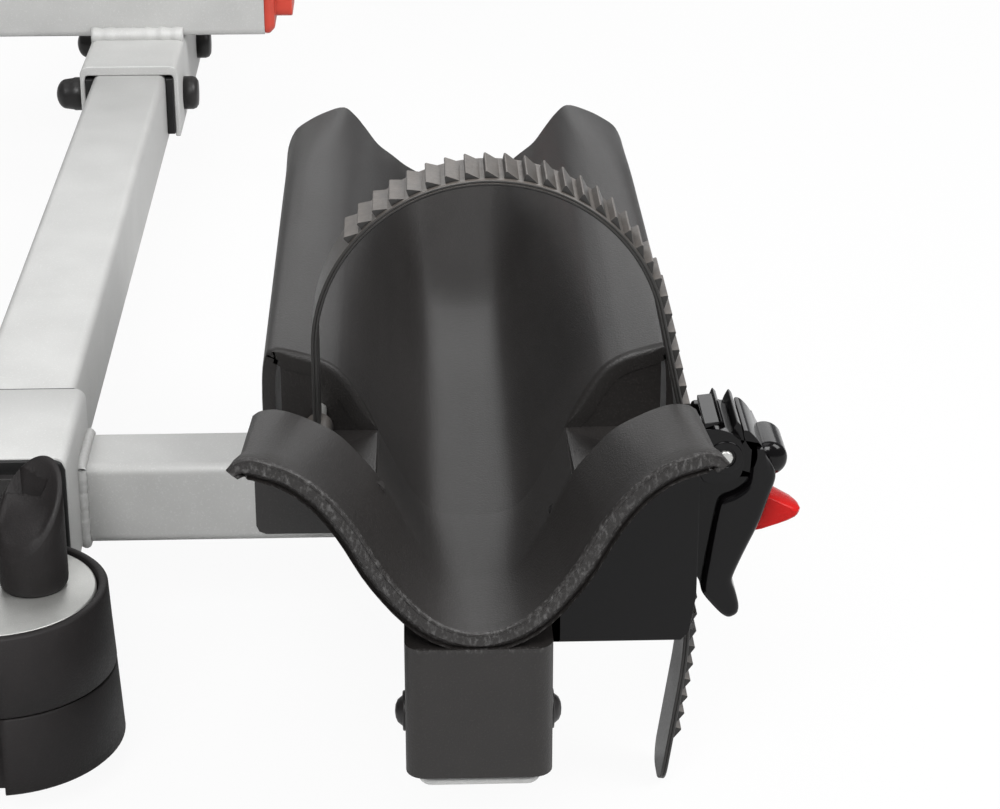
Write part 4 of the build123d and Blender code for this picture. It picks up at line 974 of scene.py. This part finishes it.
BRIDGE, BRIDGE_Y = [(-7.0, 10.2), (-2.4, 11.8), (-2.4, 12.5), (-7.0, 12.0)], (-17.2, 5.8)
# The block under the ears, from the tray's middle: its front wall, and X, near Y and top of the others
BLOCK_INNER, BLOCK_OUTER, BLOCK_LOW, BLOCK_FAR_Y = 23.4, 65.4, -47.5, -624.0
BLOCK_FRONT = [(71, 30), (71, -31.5), (69, -44.7), (66.4, BLOCK_LOW), (BLOCK_INNER, BLOCK_LOW),
               (BLOCK_INNER, -1), (31, 8), (42, 23), (54, 31.5)]
BLOCK_WALLS = [(BLOCK_INNER, BLOCK_OUTER, BODY_Y, -30.5),
               (BLOCK_OUTER - SKIN, BLOCK_OUTER, WING_Y + 1.0, 2.6),
               (BLOCK_INNER, BLOCK_INNER + SKIN, WING_Y, -31.0)]
TAB_ROOT, TAB_FULL, TAB_MIDDLE, TAB_THINNEST = 12.0, 25.4, -24.0, 0.55
TAB = [(3, -17.5), (12.2, -17), (16, -18.2), (20.5, -20.4), (25, -23), (24.6, -25.2),
       (21, -27.2), (12, -30.2), (3, -30.6)]
TAB_REACH = [(-9, 24.4), (-8.2, 26), (-6, 27), (-2, 26.7), (2, 25.2), (5, 23), (7.2, 20.5),
             (8.5, 17.8), (9, 15.8)]


def softened(outline, rounds=2, share=0.22):
    """A closed outline with its corners cut again and again, so they turn smoothly."""
    for _ in range(rounds):
        outline = [point for a, b in zip(outline, outline[1:] + outline[:1])
                   for point in ((a[0] + share * (b[0] - a[0]), a[1] + share * (b[1] - a[1])),
                                 (b[0] - share * (b[0] - a[0]), b[1] - share * (b[1] - a[1])))]
    return outline


def from_pivot(outline, y0, y1):
    return prism("y", [(PIVOT_X + x, PIVOT_Z + z) for x, z in outline], STRAP_Y + y0, STRAP_Y + y1)


def turned(profile, x=0.0, z=0.0):
    """A body turned about an axis along Y; the profile gives radius and Y from the strap's middle."""
    return lathe(profile, 48, (PIVOT_X + x, STRAP_Y, PIVOT_Z + z), "y")


def rounded_roller(radius, y0, y1, x, z):
    ends = [(radius * sin(radians(a)), y0 + radius * 0.6 * (1 - cos(radians(a)))) for a in range(10, 91, 16)]
    far = [(r, y1 - (y - y0)) for r, y in reversed(ends)]
    return turned(ends + far, x, z)


def inset(outline, depth):
    """The outline moved inward below its top, which keeps its place."""
    result = []
    for before, (x, z), after in zip(outline[-1:] + outline[:-1], outline, outline[1:] + outline[:1]):
        dx, dz = after[0] - before[0], after[1] - before[1]
        share = depth * clamped((INSET_FROM - z) / INSET_RUN) / hypot(dx, dz)
        result.append((x - share * dz, z + share * dx))
    return result


def lever_handle():
    """The handle's outline with both side faces crowned."""
    outline = softened(LEVER_OUTLINE)
    if sum(a[0] * b[1] - b[0] * a[1] for a, b in zip(outline, outline[1:] + outline[:1])) < 0:
        outline.reverse()
    half = [(CROWN * (1 - cos(radians(a))), CROWN_DEPTH * sin(radians(a))) for a in range(90, -1, -15)]
    stations = [(-LEVER_HALF + CROWN_DEPTH - out, by) for by, out in half]
    stations += [(-y, by) for y, by in reversed(stations)]
    loops = [[(PIVOT_X + x, STRAP_Y + y, PIVOT_Z + z) for x, z in inset(outline, by)] for y, by in stations]
    return skin_of_loops(loops)


def lever_mesh():
    window = from_pivot([(-PAST, WINDOW_FOOT), (PAST, WINDOW_FOOT), (PAST, WINDOW_TOP), (-PAST, WINDOW_TOP)],
                        -WINDOW_HALF, WINDOW_HALF)
    sides = ((-PAST, -BARREL_HALF), (BARREL_HALF, PAST))
    above = [(-PAST, ROOM_LOW), (PAST, ROOM_LOW), (PAST, PAST), (-PAST, PAST)]
    room = [turned([(ROOM_R, y0), (ROOM_R, y1)]) for y0, y1 in sides]
    room += [from_pivot(above, *span) for span in sides]
    barrel = [(BARREL_R - BARREL_EASE, -BARREL_HALF), (BARREL_R, BARREL_EASE - BARREL_HALF),
              (BARREL_R, BARREL_HALF - BARREL_EASE), (BARREL_R - BARREL_EASE, BARREL_HALF)]
    inner = [LEVER_CORE, softened(LEVER_HORN)] + [softened(fin, 2, 0.15) for fin in FINS]
    parts = [cut(lever_handle(), window, *room), turned(barrel)]
    parts += [from_pivot(outline, -BARREL_HALF, BARREL_HALF) for outline in inner]
    parts.append(rounded_roller(ROLL_R, *ROLL_Y, *ROLL))
    parts += [from_pivot(LEVER_WEB, *span) for span in ((-WEB_OUTER, -WEB_INNER), (WEB_INNER, WEB_OUTER))]
    return joined(parts)


def base_mesh():
    """The buckle's block, its two ears with a stepped boss, and the bridge over the strap."""
    front = [(TRAY_X + x, z) for x, z in BLOCK_FRONT]
    parts = [prism("y", front, WING_Y, WING_Y + SKIN)]
    parts += [slab(x0, x1, y0, BLOCK_FAR_Y, BLOCK_LOW, top) for x0, x1, y0, top in BLOCK_WALLS]
    for side in (-1, 1):
        y0, y1 = sorted((side * EAR_Y0, side * EAR_Y1))
        ear = EAR if side < 0 else [(x, min(z, FAR_EAR_TOP)) for x, z in EAR]
        parts.append(from_pivot(softened(ear, 2, 0.18), y0, y1))
        parts.append(slab(BLOCK_OUTER - SKIN, EAR_FOOT_X, STRAP_Y + y0, STRAP_Y + y1,
                          PIVOT_Z + EAR_FOOT_LOW, PIVOT_Z + EAR_FOOT_TOP))
        parts.append(turned([(r, side * y) for r, y in BOSS][::-side]))
    parts.append(from_pivot(BRIDGE, *BRIDGE_Y))
    return joined(parts)


def tab_mesh():
    """The red tab: its outer end is rounded in plan and its sides meet in a soft ridge."""
    loops = []
    for y, reach in TAB_REACH:
        share = (reach - TAB_ROOT) / (TAB_FULL - TAB_ROOT)
        thin = TAB_THINNEST + (1 - TAB_THINNEST) * share
        loop = [(x if x < TAB_ROOT else TAB_ROOT + (x - TAB_ROOT) * share,
                 TAB_MIDDLE + (z - TAB_MIDDLE) * thin) for x, z in TAB]
        loops.append([(PIVOT_X + x, STRAP_Y + y, PIVOT_Z + z) for x, z in softened(loop, 1, 0.2)])
    return skin_of_loops(loops)


copies(lever_mesh(), TRAY_PLACES, "buckle_lever_{}", 0.0018, 5, 42.0)
copies(base_mesh(), TRAY_PLACES, "buckle_base_{}", 0.0008, 3, 40.0)
copies(tab_mesh(), TRAY_PLACES, "release_tab_{}", 0.0006, 2, 40.0)


# Screws against the saddle's sides: low round heads with washers

SCREW = [(0.2, 3.3), (2, 3.1), (3.6, 2.4), (4.6, 1.2), (4.8, 0.9), (6.2, 0.8), (6.4, 0.4), (6.4, -0.2)]
SCREW_YS = (-703.0, -452.0)

screws = [lathe([(r, side * h) for r, h in SCREW], 32,
                (TRAY_X + side * SADDLE_HALF, y, RAIL_Z), "x") for side in (-1, 1) for y in SCREW_YS]
copies(joined(screws), TRAY_PLACES, "tray_{}", slot="black_steel", detail="screws")

for node in sorted(nodes):
    if node not in shaped:
        dressed(node)


# Studio: floor, sky, lights and camera

def floor_material():
    """White to the camera and in reflections, with the object's shadow kept."""
    g = Graph("floor")
    g.shader.inputs["Base Color"].default_value = FLOOR_COLOR
    g.shader.inputs["Roughness"].default_value = FLOOR_ROUGHNESS
    glow = g.add("ShaderNodeEmission", {"Color": WHITE, "Strength": 1.0})
    path = g.add("ShaderNodeLightPath")
    mirrored = g.math("MULTIPLY", path.outputs["Is Glossy Ray"], WHITE_IN_GLOSS)
    seen = g.math("MULTIPLY", path.outputs["Is Camera Ray"], WHITE_TO_CAMERA)
    factor = g.math("MAXIMUM", seen, mirrored)
    mixed = g.add("ShaderNodeMixShader", {0: factor, 1: g.shader.outputs[0], 2: glow.outputs[0]})
    g.put(g.output.inputs["Surface"], mixed.outputs[0])
    return g.material


def floor():
    low, size = cad_box[0][2] - FLOOR_GAP, FLOOR_HALF
    mesh = bpy.data.meshes.new("floor")
    mesh.from_pydata([(-size, -size, low), (size, -size, low), (size, size, low), (-size, size, low)], [],
                     [(0, 1, 2, 3)])
    mesh.materials.append(floor_material())
    placed("floor", mesh)


def world():
    """White to the camera and a pale sky to everything else."""
    made = bpy.data.worlds.new("studio")
    made.use_nodes = True
    tree = made.node_tree
    sky, white, seen, mixed = [tree.nodes["Background"]] + [
        tree.nodes.new("ShaderNode" + kind) for kind in ("Background", "LightPath", "MixShader")]
    for node, color, strength in ((white, WHITE, 1.0), (sky, SKY_COLOR, SKY_STRENGTH)):
        node.inputs["Color"].default_value = color
        node.inputs["Strength"].default_value = strength
    for i, start in enumerate((seen.outputs["Is Camera Ray"], sky.outputs[0], white.outputs[0])):
        tree.links.new(start, mixed.inputs[i])
    tree.links.new(mixed.outputs[0], tree.nodes["World Output"].inputs["Surface"])
    bpy.context.scene.world = made


def area_light(name, place, target, size, power):
    light = bpy.data.lights.new(name, "AREA")
    light.shape = "RECTANGLE"
    light.size, light.size_y = size
    light.energy = power
    obj = placed(name, light)
    obj.location = place
    obj.rotation_euler = (Vector(target) - Vector(place)).to_track_quat("-Z", "Y").to_euler()
    obj.visible_camera = False


def camera():
    data = bpy.data.cameras.new("camera")
    data.lens = CAMERA_LENS
    data.sensor_width = SENSOR_WIDTH
    data.sensor_fit = "HORIZONTAL"
    obj = placed("camera", data)
    obj.location = CAMERA_PLACE
    obj.rotation_euler = (radians(90 - CAMERA_PITCH), 0, radians(-CAMERA_YAW))
    bpy.context.scene.camera = obj


floor()
world()
area_light("right", (2.0, -1.0, 1.7), (0.5, -0.5, 0.0), (1.2, 1.2), 46)
area_light("front", (0.1, -2.3, 1.9), (0.4, -0.6, 0.0), (1.4, 1.0), 58)
area_light("top", (0.1, -0.3, 2.4), (0.5, -0.5, 0.0), (1.6, 1.6), 14)
area_light("back", (0.6, 2.1, 1.15), (0.6, -0.5, 0.0), (2.8, 0.9), 15)
camera()
bpy.context.scene.view_settings.view_transform = "Standard"
